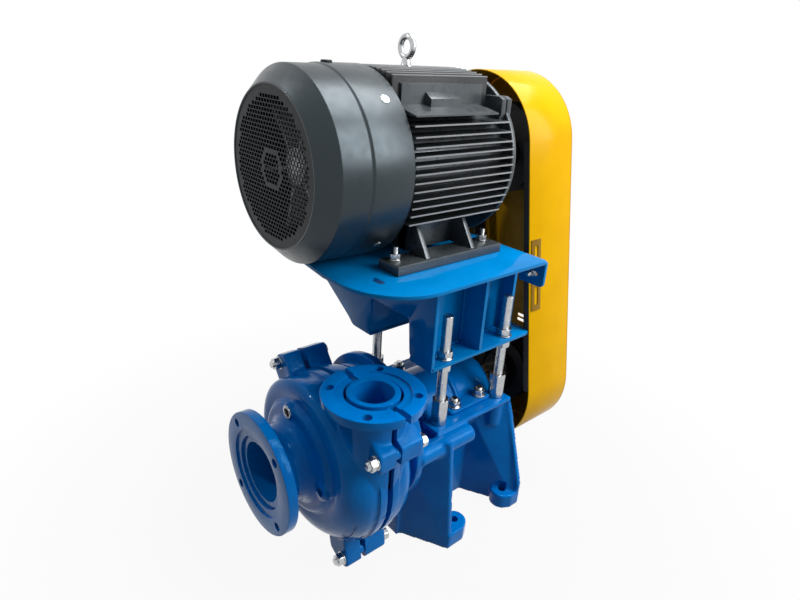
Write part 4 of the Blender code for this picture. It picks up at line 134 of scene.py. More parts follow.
class Network:
    """One node tree under construction, with one way to add any node."""

    def __init__(self, tree):
        self.tree = tree

    def node(self, kind, settings, values, output=0):
        made = self.tree.nodes.new(kind)
        for key, value in settings.items():
            if key == "stops":
                for stop, (position, shade) in zip(made.color_ramp.elements, value):
                    stop.position = position
                    stop.color = (*shade, 1.0)
            else:
                setattr(made, key, value)
        for key, value in values.items():
            self.feed(self.pick(made.inputs, key), value)
        return Wire(self, self.pick(made.outputs, output))

    def pick(self, sockets, key):
        """A Mix node repeats its sockets for each kind of value, and one of each name is on."""
        if isinstance(key, str):
            return next(socket for socket in sockets if socket.name == key and socket.enabled)
        return sockets[key]

    def feed(self, socket, value):
        if isinstance(value, Wire):
            self.tree.links.new(value.socket, socket)
        elif isinstance(value, tuple) and len(value) == 3 and socket.type == "RGBA":
            socket.default_value = (*value, 1.0)
        else:
            socket.default_value = value

    def stage_rays(self):
        """1 where the stage is seen straight, in a mirror or through glass, and 0 for light."""
        straight = self.node("ShaderNodeLightPath", {}, {}, "Is Camera Ray")
        mirrored, through = straight.beside("Is Glossy Ray"), straight.beside("Is Transmission Ray")
        return straight.maths("MAXIMUM", straight, mirrored.maths("MAXIMUM", mirrored, through))


class Finish(Network):
    """One material: its tree, its shader and the place on the object."""

    def __init__(self, name):
        self.material = bpy.data.materials.new(name)
        self.material.use_nodes = True
        super().__init__(self.material.node_tree)
        self.shader = self.tree.nodes["Principled BSDF"]
        self.place = self.node("ShaderNodeTexCoord", {}, {}, "Object")

    def noise(self, scale, detail=3.0, roughness=0.5):
        values = {"Vector": self.place, "Scale": scale, "Detail": detail, "Roughness": roughness}
        return self.node("ShaderNodeTexNoise", {}, values, "Fac")

    def ramp(self, wire, *shades):
        return self.node("ShaderNodeValToRGB", {"stops": shades}, {"Fac": wire}, "Color")

    def span(self, wire, low, high, out_low, out_high):
        values = {"Value": wire, "From Min": low, "From Max": high,
                  "To Min": out_low, "To Max": out_high}
        return self.node("ShaderNodeMapRange", {}, values)

    def bump(self, height, depth):
        return self.node("ShaderNodeBump", {}, {"Height": height, "Distance": depth,
                                                "Strength": 1.0}, "Normal")

    def set(self, **values):
        for key, value in values.items():
            self.feed(self.shader.inputs[key.replace("_", " ")], value)
        return self.material


print("shader wires ready")

# %% [markdown]
# The pump is sprayed with a thick glossy blue enamel straight onto the castings. Up close the
# skin shows two things: the slow waves of the sand mould and a finer orange peel from the spray.
# Both are heights in one bump, and the colour shifts only a little, darker where it lies thin.
# The plates of the stand get the same enamel on a smooth rolled face, so mostly the peel stays.
# Their shade is set lighter than the casting's, a painted sheen for the light on the platform top.
# In a white room a slanted face would turn grey, so the reflection is kept weak and coloured.

# %% Enamel finishes
WAVE_SCALE, PEEL_SCALE, SHADE_SCALE = 55.0, 230.0, 14.0
BLUE_TINT, YELLOW_TINT = (0.25, 0.65, 1.0), (1.0, 0.85, 0.45)


def enamel(name, shade, dark, wave, peel, gloss, shine, tint=(1.0, 1.0, 1.0)):
    """Height = wave * slow noise + peel * fine noise; the colour ramps between two shades."""
    finish = Finish(name)
    slow = finish.noise(WAVE_SCALE, 2.0, 0.55)
    fine = finish.noise(PEEL_SCALE, 2.0, 0.5)
    colour = finish.ramp(finish.noise(SHADE_SCALE, 4.0), (0.3, dark), (0.62, shade))
    rough = finish.span(finish.noise(WAVE_SCALE, 3.0), 0.3, 0.7, gloss, gloss + 0.1)
    normal = finish.bump(slow * wave + fine * peel, 1 * MM)
    return finish.set(Base_Color=colour, Roughness=rough, Normal=normal,
                      Specular_IOR_Level=shine, Specular_Tint=tint)


BLUE_CAST = enamel("blue_enamel_on_casting", (0, 0.17, 0.54), (0, 0.13, 0.45),
                   0.5, 0.36, 0.04, 0.15, BLUE_TINT)
# A lighter shade than the casting's: painted sheen for the light on the platform top.
BLUE_PLATE_PAINTED_SHEEN = enamel("blue_enamel_on_plate_painted_sheen", (0, 0.215, 0.56), (0, 0.19, 0.5),
                    0.15, 0.05, 0.07, 0.12, BLUE_TINT)
YELLOW = enamel("yellow_enamel_on_sheet", (0.8, 0.43, 0.0), (0.75, 0.39, 0.0),
                0.25, 0.05, 0.12, 0.1, YELLOW_TINT)
# A darker yellow: painted shade for the inside of the guard, where the shadow falls.
YELLOW_PAINTED_SHADE = enamel("yellow_with_painted_shade", (0.56, 0.28, 0.004), (0.43, 0.205, 0.003),
                       0.25, 0.05, 0.3, 0.16)
# A dark brown for the slotted guard strip and its arm.
DARK_BROWN_STRIP = enamel("dark_brown_on_strip", (0.26, 0.14, 0.006), (0.19, 0.1, 0.004),
                      0.1, 0.1, 0.35, 0.15)
print("five enamels")

# %% [markdown]
# The motor is painted a satin charcoal. The cowl is smooth, so its reflections are broad and
# clean, while the finned frame is a casting with a grainy bump. The fins get a darker shade than
# the rest of the frame, painted shade for the deep gaps between them. Their tips catch the light
# as bright lines, so a painted highlight lightens the shade where the distance from the axis
# comes near the reach of the fins. The reach falls off as a square from the middle of the row,
# and the fins themselves use the same formula further down.

# %% Motor finishes
MOTOR_CAST = enamel("charcoal_on_casting", (0.048, 0.056, 0.06), (0.036, 0.042, 0.046),
                    0.1, 0.16, 0.24, 0.75, (0.85, 0.93, 1.0))
COWL_PAINT = enamel("charcoal_on_sheet", (0.014, 0.019, 0.021), (0.011, 0.015, 0.017),
                    0.05, 0.008, 0.28, 0.55, (0.75, 0.9, 1.0))
GRILLE_PAINT = enamel("charcoal_on_grille", (0.02, 0.026, 0.028), (0.016, 0.021, 0.023),
                      0.05, 0.012, 0.34, 0.16)
SIDE_REACH = (176.5, 10.0, 88.0)
TOP_REACH = (177.5, 11.5, 98.0)
# Painted highlight for the bright tips of the fins.
FIN_TIP_PAINTED_HIGHLIGHT = (0.3, 0.31, 0.32)


def fin_finish(name, row, upright_fin):
    """Painted highlight mask at the fin tips: |out| + fall * (across / half)^2 against the reach.
    """
    reach, fall, half = (size * MM for size in row)
    finish = Finish(name)
    x = finish.node("ShaderNodeSeparateXYZ", {}, {"Vector": finish.place}, "X")
    side = x - (MOTOR_X * MM + float(SHIFT[0]))
    height = x.beside("Z") - (MOTOR_Z * MM + float(SHIFT[2]))
    out, cross = (height, side) if upright_fin else (side, height)
    # Painted highlight: the mask is 1 near the tips of the fins.
    tip = finish.span(abs(out) + cross * cross * (fall / half**2), reach - 1.6 * MM,
                      reach - 0.9 * MM, 0.0, 1.0)
    # Painted shade: the fins are darker than the rest of the frame, for the gaps between them.
    dark = finish.ramp(finish.noise(SHADE_SCALE, 4.0), (0.3, (0.012, 0.015, 0.016)),
                       (0.62, (0.02, 0.024, 0.026)))
    shade = finish.node("ShaderNodeMix", {"data_type": "RGBA"},
                        {"Factor": tip, "A": dark, "B": FIN_TIP_PAINTED_HIGHLIGHT}, "Result")
    normal = finish.bump(finish.noise(300.0, 2.0), 0.2 * MM)
    return finish.set(Base_Color=shade, Roughness=0.32, Normal=normal, Specular_IOR_Level=0.5)


SIDE_FIN = fin_finish("charcoal_side_fins", SIDE_REACH, False)
TOP_FIN = fin_finish("charcoal_top_fins", TOP_REACH, True)
print("five motor finishes")

# %% [markdown]
# Bare metal is the other half of the set: zinc plated nuts and studs, turned steel, dark iron
# pulleys. A metal's colour is its reflection, so each gets a high Metallic and what varies is
# the roughness, in soft clouds whose grain suits the metal. Rubber, rope and the plastic of the
# fan use the same recipe with Metallic at 0.

# %% Metal and rubber finishes
def metal(name, shade, dark, low, high, grain, metallic=1.0, depth=0.06):
    """Colour and roughness follow one cloud; the bump is a noise six times finer."""
    finish = Finish(name)
    cloud = finish.noise(grain, 4.0, 0.6)
    colour = finish.ramp(cloud, (0.35, dark), (0.65, shade))
    rough = finish.span(cloud, 0.3, 0.7, low, high)
    normal = finish.bump(finish.noise(grain * 6, 2.0), depth * MM)
    return finish.set(Base_Color=colour, Roughness=rough, Normal=normal, Metallic=metallic)


ZINC = metal("zinc_plating", (0.52, 0.54, 0.55), (0.44, 0.45, 0.46), 0.18, 0.3, 90.0)
STEEL = metal("turned_steel", (0.52, 0.53, 0.54), (0.44, 0.44, 0.45), 0.2, 0.36, 160.0)
COPPER = metal("winding", (0.45, 0.16, 0.06), (0.3, 0.1, 0.04), 0.35, 0.5, 140.0)
DARK_IRON = metal("dark_iron", (0.022, 0.022, 0.023), (0.012, 0.012, 0.013),
                  0.4, 0.6, 120.0, 0.3)
RUBBER = metal("belt_rubber", (0.014, 0.014, 0.014), (0.008, 0.008, 0.008),
               0.6, 0.8, 200.0, 0.0)
PLASTIC = metal("fan_plastic", (0.8, 0.81, 0.8), (0.72, 0.73, 0.72),
                0.45, 0.6, 100.0, 0.0)
PACKING = metal("packing_rope", (0.34, 0.3, 0.22), (0.22, 0.19, 0.13),
                0.8, 0.95, 260.0, 0.0, 0.6)
print("seven metals and other finishes")

# %% [markdown]
# A shape is kept as a shell, a pair of an array of points and a list of faces, until it becomes
# a piece. Shells join by simply being listed together, which keeps each recipe short. The
# first helper turns a grid of points into faces: point (i, j) joins (i + 1, j + 1).

# %% Grids of points
def shell(grid, closed=True):
    """Quads (i, j), (i, j + 1), (i + 1, j + 1), (i + 1, j). Each row is a loop of points, and the
    last row joins the first one when the shell is closed."""
    rows, columns = grid.shape[:2]
    i, j = np.meshgrid(np.arange(rows - (not closed)), np.arange(columns), indexing="ij")
    below, beside = (i + 1) % rows, (j + 1) % columns
    corners = ((i, j), (i, beside), (below, beside), (below, j))
    quads = np.stack([row * columns + column for row, column in corners], -1)
    return grid.reshape(-1, 3), quads.reshape(-1, 4).tolist()


def capped(points, faces, count):
    """Closes the first and the last loop of a shell, which have count points each, with a face."""
    last = len(points) - count
    return points, faces + [list(range(count)), list(range(last, last + count))[::-1]]


def on_axis(axis, first, second, along):
    """Stacks two cross coordinates and one along the axis into points in space."""
    order = {"X": (along, first, second), "Y": (first, along, second), "Z": (first, second, along)}
    return np.stack(np.broadcast_arrays(*order[axis]), -1)


print("grid helpers ready")

# %% [markdown]
# Nothing on a casting or a pressing ends in a knife edge, and it is the small rounded edges that
# catch the light. This helper rounds the corners of any outline: each corner C becomes the curve
# (1 - s)^2 A + 2 s (1 - s) C + s^2 B between a point A on the side before and B on the side after.

# %% Outlines and rounded corners
def rounded(corners, radius, steps=4):
    """radius is one number, or one for each corner, and never takes more than 0.45 of a side."""
    c = np.array(corners, float)
    before, after = np.roll(c, 1, 0) - c, np.roll(c, -1, 0) - c
    long_before = np.linalg.norm(before, axis=1, keepdims=True)
    long_after = np.linalg.norm(after, axis=1, keepdims=True)
    reach = np.broadcast_to(np.array(radius, float).reshape(-1, 1), (len(c), 1))
    reach = np.minimum(reach, 0.45 * np.minimum(long_before, long_after))
    a, b = c + before / long_before * reach, c + after / long_after * reach
    s = np.linspace(0, 1, steps)[None, :, None]
    curve = (1 - s) ** 2 * a[:, None] + 2 * s * (1 - s) * c[:, None] + s**2 * b[:, None]
    return curve.reshape(-1, c.shape[1])


def box_outline(left, right_side, low, high):
    return [(left, low), (right_side, low), (right_side, high), (left, high)]


def arc(centre, radius, start, end, steps, last=True):
    """Points at centre + radius * (cos t, sin t), with t from start to end in degrees."""
    t = np.radians(np.linspace(start, end, steps, endpoint=last))
    return np.stack([centre[0] + radius * np.cos(t), centre[1] + radius * np.sin(t)], -1)


def circle(centre, radius, steps):
    return arc(centre, radius, 0, 360, steps, False)


def polar(centre, radius, degrees):
    return tuple(arc(centre, radius, degrees, degrees, 1)[0])


print("a unit circle of 4 points", circle((0, 0), 1, 4).round(3).tolist())

# %% [markdown]
# Most of this set is turned or flame cut. So two shells do most of the work: a profile turned
# about an axis, and an outline carried straight along one with its rim rounded over.

# %% Turned shells and slabs
def turned(profile, axis, centre, edge=0.0, steps=96):
    """Point (t, k) is the centre plus radius k at the angle t, at height k of the profile."""
    line = rounded(profile, edge) if edge else np.array(profile, float)
    radius, height = line[None, :, 0], line[None, :, 1]
    t = np.linspace(0, 2 * np.pi, steps, endpoint=False)[:, None]
    first, second = centre[0] + radius * np.cos(t), centre[1] + radius * np.sin(t)
    return shell(on_axis(axis, first, second, height))


def disc(radius, low, high, inner=0.0):
    """The closed profile of a plain disc or ring."""
    return [(inner, low), (radius, low), (radius, high), (inner, high)]


def rod(axis, centre, radius, low, high, edge=0.0, steps=96, inner=0.0):
    """A plain disc, ring or rod, turned from its profile."""
    return turned(disc(radius, low, high, inner), axis, centre, edge, steps)


def inset(outline, amount):
    """Each point moves inwards along the mitre of its two sides."""
    p = np.array(outline, float)
    ahead, behind = np.roll(p, -1, 0) - p, p - np.roll(p, 1, 0)
    area = np.sum(p[:, 0] * np.roll(p[:, 1], -1) - np.roll(p[:, 0], -1) * p[:, 1])
    sign = 1.0 if area > 0 else -1.0
    lengths = [np.maximum(np.linalg.norm(v, axis=1, keepdims=True), 1e-6) for v in (ahead, behind)]
    mitre = sum(np.stack([-v[:, 1], v[:, 0]], -1) / length
                for v, length in zip((ahead, behind), lengths))
    return p + sign * amount * 2 * mitre / np.maximum(np.sum(mitre * mitre, 1, keepdims=True), 0.5)


def slab(outline, axis, low, high, edge=1.0):
    """Rings of the outline, inset by edge * (1 - sin a) near each end face, and two flat caps."""
    a = np.linspace(0, np.pi / 2, 3)
    rise, narrow = edge * (1 - np.cos(a)), edge * (1 - np.sin(a))
    levels = np.concatenate([low + rise, high - rise[::-1]])
    insets = np.concatenate([narrow, narrow[::-1]])
    rings = [on_axis(axis, *inset(outline, amount).T, np.full(len(outline), level))
             for level, amount in zip(levels, insets)]
    return capped(*shell(np.array(rings), False), len(outline))


def beam(x_range, y_range, z_range, edge=1.0):
    """A rectangular bar between two corners."""
    return slab(box_outline(*x_range, *y_range), "Z", *z_range, edge)


def both_sides(shells, middle=0.0):
    """The shells, and the same shells mirrored in the upright plane at X = middle."""
    return shells + [(points * [-1, 1, 1] + [2 * middle, 0, 0], faces) for points, faces in shells]


print("a beam has", len(beam((0, 1), (0, 1), (0, 1))[0]), "points")

# %% [markdown]
# A path can be followed by a round section too. The weld beads and the lifting ring are made so:
# at each point of the path two directions at right angles to it carry a circle.

# %% Round sections along a path
def tube(path, radius, closed=False, steps=10):
    """Point (k, t) is path k plus radius k * (cos t * side + sin t * other side)."""
    p = np.array(path, float)
    run = np.roll(p, -1, 0) - np.roll(p, 1, 0) if closed else np.gradient(p, axis=0)
    run /= np.linalg.norm(run, axis=1, keepdims=True)
    steep = abs(run[:, 2]).max() >= 0.9
    side = np.cross(run, [0.31, 0.95, 0.02] if steep else [0.0, 0.0, 1.0])
    side /= np.linalg.norm(side, axis=1, keepdims=True)
    other = np.cross(run, side)
    t = np.linspace(0, 2 * np.pi, steps, endpoint=False)[None, :, None]
    wide = np.broadcast_to(np.array(radius, float).reshape(-1, 1, 1), (len(p), 1, 1))
    points = p[:, None] + wide * (np.cos(t) * side[:, None] + np.sin(t) * other[:, None])
    return shell(points) if closed else capped(*shell(points, False), steps)


BEAD, BEAD_STEP, BEAD_WAVE = 3.5, 1.2, 4.2


def weld(start, end):
    """A rippled bead: the radius follows 1 + 0.12 sin of the distance along it."""
    start, end = np.array(start, float), np.array(end, float)
    length = np.linalg.norm(end - start)
    s = np.linspace(0, 1, max(int(length / BEAD_STEP), 8))
    ends = np.minimum(1.0, np.sqrt(np.maximum(np.minimum(s, 1 - s) * length / BEAD, 0.05)))
    ripple = (1 + 0.12 * np.sin(s * length / BEAD_WAVE * 2 * np.pi)) * ends
    return tube(start + (end - start) * s[:, None], BEAD * ripple, steps=8)


print("a bead of 100 mm has", len(weld((0, 0, 0), (100, 0, 0))[0]), "points")

# %% [markdown]
# Nuts, bolt heads and threads repeat all over the set, so they are formulas too. The radius of a
# hexagon at the angle t is half its flats over the cosine of the angle from the nearest flat. A
# chamfer is a cone that takes away whatever stands outside it, which gives the curved edges of a
# real nut. A thread is a radius that rises and falls once each pitch while t goes round.

# %% Hexagons and threads
def screw_shell(axis, centre, inner, radius, low, levels, high, t):
    """radius(t, z) on a grid, closed at each end down to the inner radius."""
    inner = np.full((len(t), 1), inner)
    radius = np.concatenate([inner, radius, inner], 1)
    heights = np.concatenate([[low], levels, [high]])[None, :] + 0 * radius
    t = t[:, None]
    return shell(on_axis(axis, centre[0] + radius * np.cos(t), centre[1] + radius * np.sin(t),
                         heights))


def hexagon(axis, centre, across_flats, low, high, turned_by=0.0, bore=0.0):
    """radius(t, z) = the smaller of the hexagon at t and the chamfer cone at z."""
    t = np.linspace(0, 2 * np.pi, 60, endpoint=False)
    half = across_flats / 2
    hexed = half / np.cos((t - math.radians(turned_by)) % (np.pi / 3) - np.pi / 6)
    corner, face = half / math.cos(np.pi / 6), 0.95 * half
    reach = 0.14 * across_flats
    steps = reach * np.array([0, 0.05, 0.2, 0.45])
    levels = np.concatenate([low + steps, high - steps[::-1]])
    depth = np.minimum(levels - low, high - levels)
    cone = face + (corner - face) * np.sqrt(np.clip(depth / (0.42 * reach), 0, 1))
    radius = np.minimum(hexed[:, None], cone[None, :])
    return screw_shell(axis, centre, bore, radius, low, levels, high, t)


def thread(axis, centre, radius, low, high, pitch, share=0.55):
    """radius(t, z) = radius - share of the pitch * (2 (z / pitch - t) folded to 0..1)."""
    levels = int((high / 1000 - low / 1000) / (pitch / 1000) * 6)
    z = np.linspace(low, high, levels)
    t = np.linspace(0, 2 * np.pi, 28, endpoint=False)
    phase = (z[None, :] / pitch - t[:, None] / (2 * np.pi)) % 1.0
    end = np.clip(np.minimum(z - low, high - z) / (0.12 * radius), 0, 1)
    radius = (radius - share * pitch * np.abs(2 * phase - 1)) * (0.84 + 0.16 * np.sqrt(end))
    return screw_shell(axis, centre, 0.0, radius, low, z, high, t)


print("a nut has", len(hexagon("Z", (0, 0), 24, 0, 13)[0]), "points")

# %% [markdown]
# A piece is one or more shells in one mesh, scaled to metres and moved into the frame's
# coordinates, with a finish and with the name of the body that carries it. Doubled points at
# poles are merged and the faces are made to point outwards.

# %% Make a piece
def make(name, shells, finish, body="base", instead=(), crease=32.0):
    """Joins the shells, merges poles, turns faces outwards and hands the piece to its body."""
    points, faces, start = [], [], 0
    for verts, quads in shells:
        points.append(verts)
        faces.extend([[corner + start for corner in face] for face in quads])
        start += len(verts)
    mesh = bpy.data.meshes.new(name)
    mesh.from_pydata((np.concatenate(points) * MM + SHIFT).tolist(), [], faces)
    clean(mesh)
    piece = bpy.data.objects.new(name, mesh)
    bpy.context.collection.objects.link(piece)
    mesh.materials.append(finish)
    smooth(piece, crease)
    if instead:
        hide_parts(*instead)
    if body:
        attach(piece, body)
    return piece


def clean(mesh):
    work = bmesh.new()
    work.from_mesh(mesh)
    bmesh.ops.remove_doubles(work, verts=work.verts, dist=1e-6)
    bmesh.ops.dissolve_degenerate(work, edges=work.edges, dist=1e-7)
    bmesh.ops.recalc_face_normals(work, faces=work.faces)
    work.to_mesh(mesh)
    work.free()


def smooth(piece, crease):
    piece.data.shade_smooth()
    piece.data.set_sharp_from_angle(angle=math.radians(crease))


print("pieces can be made")

# %% [markdown]
# Drilled holes, slots and the parting gap are cut with Boolean modifiers, which Blender then
# works out once. A sand casting is the opposite of a cut: its shapes flow into each other. That
# comes from a voxel remesh, which fuses the overlapping shells into one skin, and a few rounds
# of smoothing, which leave a fillet in every inner corner.

# %% Cut and cast
def settle(piece):
    """Works out the modifiers and keeps the result as the mesh."""
    graph = bpy.context.evaluated_depsgraph_get()
    old = piece.data
    piece.data = bpy.data.meshes.new_from_object(piece.evaluated_get(graph))
    piece.modifiers.clear()
    bpy.data.meshes.remove(old)


def cut(piece, shells, crease=32.0):
    """Takes each shell away from the piece in turn."""
    for tool_shell in shells:
        tool = make("tool", [tool_shell], piece.data.materials[0], None)
        step = piece.modifiers.new("cut", "BOOLEAN")
        step.operation, step.solver, step.object = "DIFFERENCE", "EXACT", tool
        settle(piece)
        bpy.data.objects.remove(tool, do_unlink=True)
    smooth(piece, crease)


def cast(name, shells, finish, voxel, rounds, instead):
    """Voxel remesh at the given size in millimetres, then rounds of smoothing."""
    piece = make(name, shells, finish, instead=instead)
    fuse = piece.modifiers.new("fuse", "REMESH")
    fuse.mode, fuse.voxel_size = "VOXEL", voxel * MM
    relax = piece.modifiers.new("relax", "SMOOTH")
    relax.factor, relax.iterations = 0.5, rounds
    settle(piece)
    piece.data.materials.clear()
    piece.data.materials.append(finish)
    piece.data.shade_smooth()
    print(name, len(piece.data.polygons), "faces")
    return piece


print("cut and cast ready")

# %% [markdown]
# The cowl over the motor's fan is the largest thing in the picture. It is a deep steel cup: a
# flat perforated end, a straight cone, a barrel and, behind a small step, the skirt that four
# screws hold to the frame. The cup is a turned profile with a wall, drawn once round.

# %% Fan cowl
GRILLE_R, BARREL_R, SKIRT_R = 144.5, 176.2, 178.5
cowl_line = [(GRILLE_R - 3.0, 100.2), (GRILLE_R, 99.5), (GRILLE_R + 1.2, 101.2),
             (BARREL_R, 132.5), (BARREL_R, 192.5), (SKIRT_R, 197.2), (SKIRT_R, 283.6),
             (SKIRT_R - 2.0, 283.6), (SKIRT_R - 2.0, 198.5), (BARREL_R - 2.0, 193.5),
             (BARREL_R - 2.0, 134.0), (GRILLE_R - 3.0, 102.7)]
make("fan_cowl_skirt", [turned(rounded(cowl_line, 1.6), "Y", MOTOR, 0, 160)], COWL_PAINT,
     instead=("fan_cowl",), crease=35)
print("cowl of", 2 * SKIRT_R, "mm")

# %% [markdown]
# The cowl's screws have a washer and a domed head with a cross in it. They are made along Z and
# then aimed outwards, each at its own angle on the skirt. A plug closes the hole on the top.

# %% Cowl screws
SCREW_ANGLES, SCREW_Y, PLUG_Y = (45.6, -47.5, 134.4, 227.5), 252.0, 216.0


def aimed(built, degrees, y, sunk):
    """A shell made along Z, turned to point outwards at an angle and put on the skirt there."""
    points, faces = built
    out = np.array([math.cos(math.radians(degrees)), 0.0, math.sin(math.radians(degrees))])
    turn_to = np.array(Vector(out).to_track_quat("Z", "Y").to_matrix())
    place = np.array([MOTOR_X, y, MOTOR_Z]) + out * (SKIRT_R - sunk)
    return points @ turn_to.T + place, faces


head = [(0.0, 0.8), (6.0, 0.8), (5.6, 3.0), (3.5, 4.2), (0.0, 4.2)]
plug = [(0.0, 0.0), (10.5, 0.0), (10.5, 3.0), (8.5, 4.5), (0.0, 4.5)]
long_side, thin_side, depth = (-3.0, 3.0), (-0.6, 0.6), (3.0, 6.0)
screws, crosses = [], []
for degrees in SCREW_ANGLES:
    for profile in (disc(8.2, 0.0, 1.0), head):
        screws.append(aimed(turned(profile, "Z", (0, 0), 0, 32), degrees, SCREW_Y, 0.3))
    for sides in ((long_side, thin_side), (thin_side, long_side)):
        crosses.append(aimed(beam(*sides, depth, 0), degrees, SCREW_Y, 0.3))
cut(make("cowl_screws", screws, ZINC), crosses)
make("cowl_plug", [aimed(turned(plug, "Z", (0, 0), 0, 40), 90.0, PLUG_Y, 0.6)], GRILLE_PAINT)
print(len(SCREW_ANGLES), "screws and a plug")

# %% [markdown]
# The end of the cowl is punched with rows of small slots, staggered like bricks, round a plain
# ring with more slots inside it. Each slot is a rectangle in a flat outline, a constrained
# triangulation fills what is left of the disc, and Solidify gives the sheet its thickness.

# %% Grille
PITCH_X, PITCH_Z, HALF_X, HALF_Z = 9.8, 7.6, 4.0, 3.0
SLOTTED_R, PLAIN_LOW, PLAIN_HIGH = 130.0, 29.0, 38.0
RIM_STEPS, GRILLE_Y, SHEET = 120, 101.6, 1.6


def slots_in_disc():
    """Centres of the slots: rows half a pitch apart in turn, inside the rim and off the ring."""
    rows, columns = np.meshgrid(np.arange(-24, 25), np.arange(-18, 19), indexing="ij")
    x = ((columns + (rows % 2) / 2) * PITCH_X).ravel()
    z = (rows * PITCH_Z).ravel()
    far, near = np.hypot(abs(x) + HALF_X, abs(z) + HALF_Z), np.hypot(x, z)
    keep = (far < SLOTTED_R) & ((near < PLAIN_LOW) | (near > PLAIN_HIGH))
    return np.stack([x[keep], z[keep]], -1)


def punched_disc(centres, radius):
    """Points and triangles of a disc, without the triangles whose middle lies in a slot."""
    count = len(centres)
    corners = np.array(box_outline(-HALF_X, HALF_X, -HALF_Z, HALF_Z))
    holes = (centres[:, None] + corners[None]).reshape(-1, 2)
    points = np.concatenate([holes, circle((0, 0), radius, RIM_STEPS)])
    base = np.arange(count)[:, None] * 4
    ring = np.concatenate([base + np.array([[k, (k + 1) % 4]]) for k in range(4)])
    outer = count * 4 + np.arange(RIM_STEPS)
    edges = np.concatenate([ring, np.stack([outer, np.roll(outer, -1)], -1)])
    made = delaunay_2d_cdt([Vector(p) for p in points * MM], edges.tolist(), [], 0, 1e-6)
    flat, triangles = np.array([tuple(v) for v in made[0]]) / MM, np.array(made[2])
    away = np.abs(flat[triangles].mean(1)[:, None] - centres[None])
    inside = (away[..., 0] < HALF_X) & (away[..., 1] < HALF_Z)
    return flat, triangles[~inside.any(1)].tolist()


slots = slots_in_disc()
flat, triangles = punched_disc(slots, GRILLE_R - 1.2)
flat = on_axis("Y", flat[:, 0] + MOTOR_X, flat[:, 1] + MOTOR_Z, np.full(len(flat), GRILLE_Y))
grille = make("fan_grille", [(flat, triangles)], GRILLE_PAINT)
if grille.data.polygons[0].normal.y > 0:
    grille.data.flip_normals()
wall = grille.modifiers.new("sheet", "SOLIDIFY")
wall.thickness, wall.offset = SHEET * MM, -1.0
settle(grille)
grille.data.shade_flat()
print("grille slots", len(slots))

# %% [markdown]
# Behind the slots the fan shows as pale blades. It turns with the motor, so it rides on the
# rotor's body. A blade is a slab from the hub to the rim, and the hub and back disc are turned.

# %% Cooling fan
BLADES, FIRST_BLADE = 6, 12
fan_shells = [rod("Y", MOTOR, 34.0, 150.0, 206.0, 3.0, inner=18.5),
              rod("Y", MOTOR, 130.0, 204.0, 210.0, 1.0, inner=20.0)]
for number in range(BLADES):
    angle = math.radians(360 / BLADES * number + FIRST_BLADE)
    ahead = np.array([math.cos(angle), math.sin(angle)])
    beside = np.array([-math.sin(angle), math.cos(angle)])
    outline = [np.array(MOTOR) + ahead * a + beside * b for a, b in box_outline(32, 128, -3, 3)]
    fan_shells.append(slab(outline, "Y", 152, 205, 0.8))
make("cooling_fan_wheel", fan_shells, PLASTIC, "motor_rotor", ("cooling_fan",))
print("fan with", BLADES, "blades")

# %% [markdown]
# The motor frame is a finned casting. Its fins stand level on the two sides and upright on top,
# and their tips follow a soft bulge. Each fin is a thin slab whose reach is a formula of its
# place: on the sides it is 176.5 - 10 (z / 88)^2 millimetres from the axis.

# %% Fins
FIN_THICK, FIN_FRONT, SIDE_BACK, TOP_FIN_BACK = 4.8, 287, (550, 14, 88), 531
SIDE_LEVELS = (86.5, 68, 50.5, 35, 19.5, 4.5, -11, -26.5, -42, -57, -72, -88.5)
TOP_LEVELS = 7.8 + 15 * np.arange(7)


def reach_of(row, level):
    reach, fall, half = row
    return reach - fall * (level / half) ** 2


def fin(root, tip, y_back, level, upright_fin=False):
    """A tapered slab: full thickness at the root and 0.56 of it at the tip."""
    corners = np.array([(root, -FIN_THICK / 2), (tip, -0.28 * FIN_THICK),
                        (tip, 0.28 * FIN_THICK), (root, FIN_THICK / 2)]) + (0, level)
    outline = MOTOR + (corners[:, ::-1] if upright_fin else corners)
    return slab(outline, "Y", FIN_FRONT, y_back, 0.7)


side_fins = both_sides([fin(118, reach_of(SIDE_REACH, level), reach_of(SIDE_BACK, level), level)
                        for level in SIDE_LEVELS], MOTOR_X)
top_fins = both_sides([fin(90, reach_of(TOP_REACH, level), TOP_FIN_BACK, level, True)
                       for level in TOP_LEVELS], MOTOR_X)
make("motor_side_fins", side_fins, SIDE_FIN)
make("motor_top_fins", top_fins, TOP_FIN)
print("fins", len(side_fins) + len(top_fins))

# %% [markdown]
# Round the fins come the shell, the flat cheeks with their ledge and the small block on them,
# a lug in two leaves at the drive end, and the two feet, which are thick bars joined to the
# shell by sloping ribs. Each is an outline across the motor, carried along it, and all but the
# shell are there once on each side.

# %% Motor frame
lug_leaf = [(85, 92), (134, 86), (139, 98), (139, 126), (128, 131), (92, 131), (85, 120)]
rib = [(170, -161), (133, -103), (90, -98), (80, -161)]
CHEEKS = (([(60, 104), (106.5, 104), (106.5, 151), (102, 152.5), (60, 152.5)], 303, 512, 1),
          ([(98, 104), (166, 101.5), (166, 104.5), (106, 116.5), (98, 116.5)], 289, 500, 1),
          ([(100, 108), (124, 108), (124, 127), (107, 137.5), (100, 137.5)], 360, 437, 1),
          (lug_leaf, 538, 550.5, 1.5), (lug_leaf, 553.5, 567, 1.5),
          (rib, 334, 344.5, 1), (rib, 459, 469.5, 1),
          ([(105, -161), (112, -105), (96, -105), (60, -161)], 334, 468, 1))
cheeks = [slab(np.array(outline) + MOTOR, "Y", *run) for outline, *run in CHEEKS]
foot = slab(box_outline(MOTOR_X + 118, MOTOR_X + 176.3, 259, 543), "Z", 641.6, 660.5, 1.2)
frame_shells = [rod("Y", MOTOR, 146, 262, 552, 2, inner=132), *both_sides(cheeks + [foot], MOTOR_X)]
make("motor_frame_casting", frame_shells, MOTOR_CAST, instead=("motor_frame",))
print("motor frame of", len(frame_shells), "shells")

# %% [markdown]
# The end shields close the frame. The one at the drive end is as wide as the cowl, with a
# bearing cap that stands out round the shaft. Both are turned profiles with rounded corners.

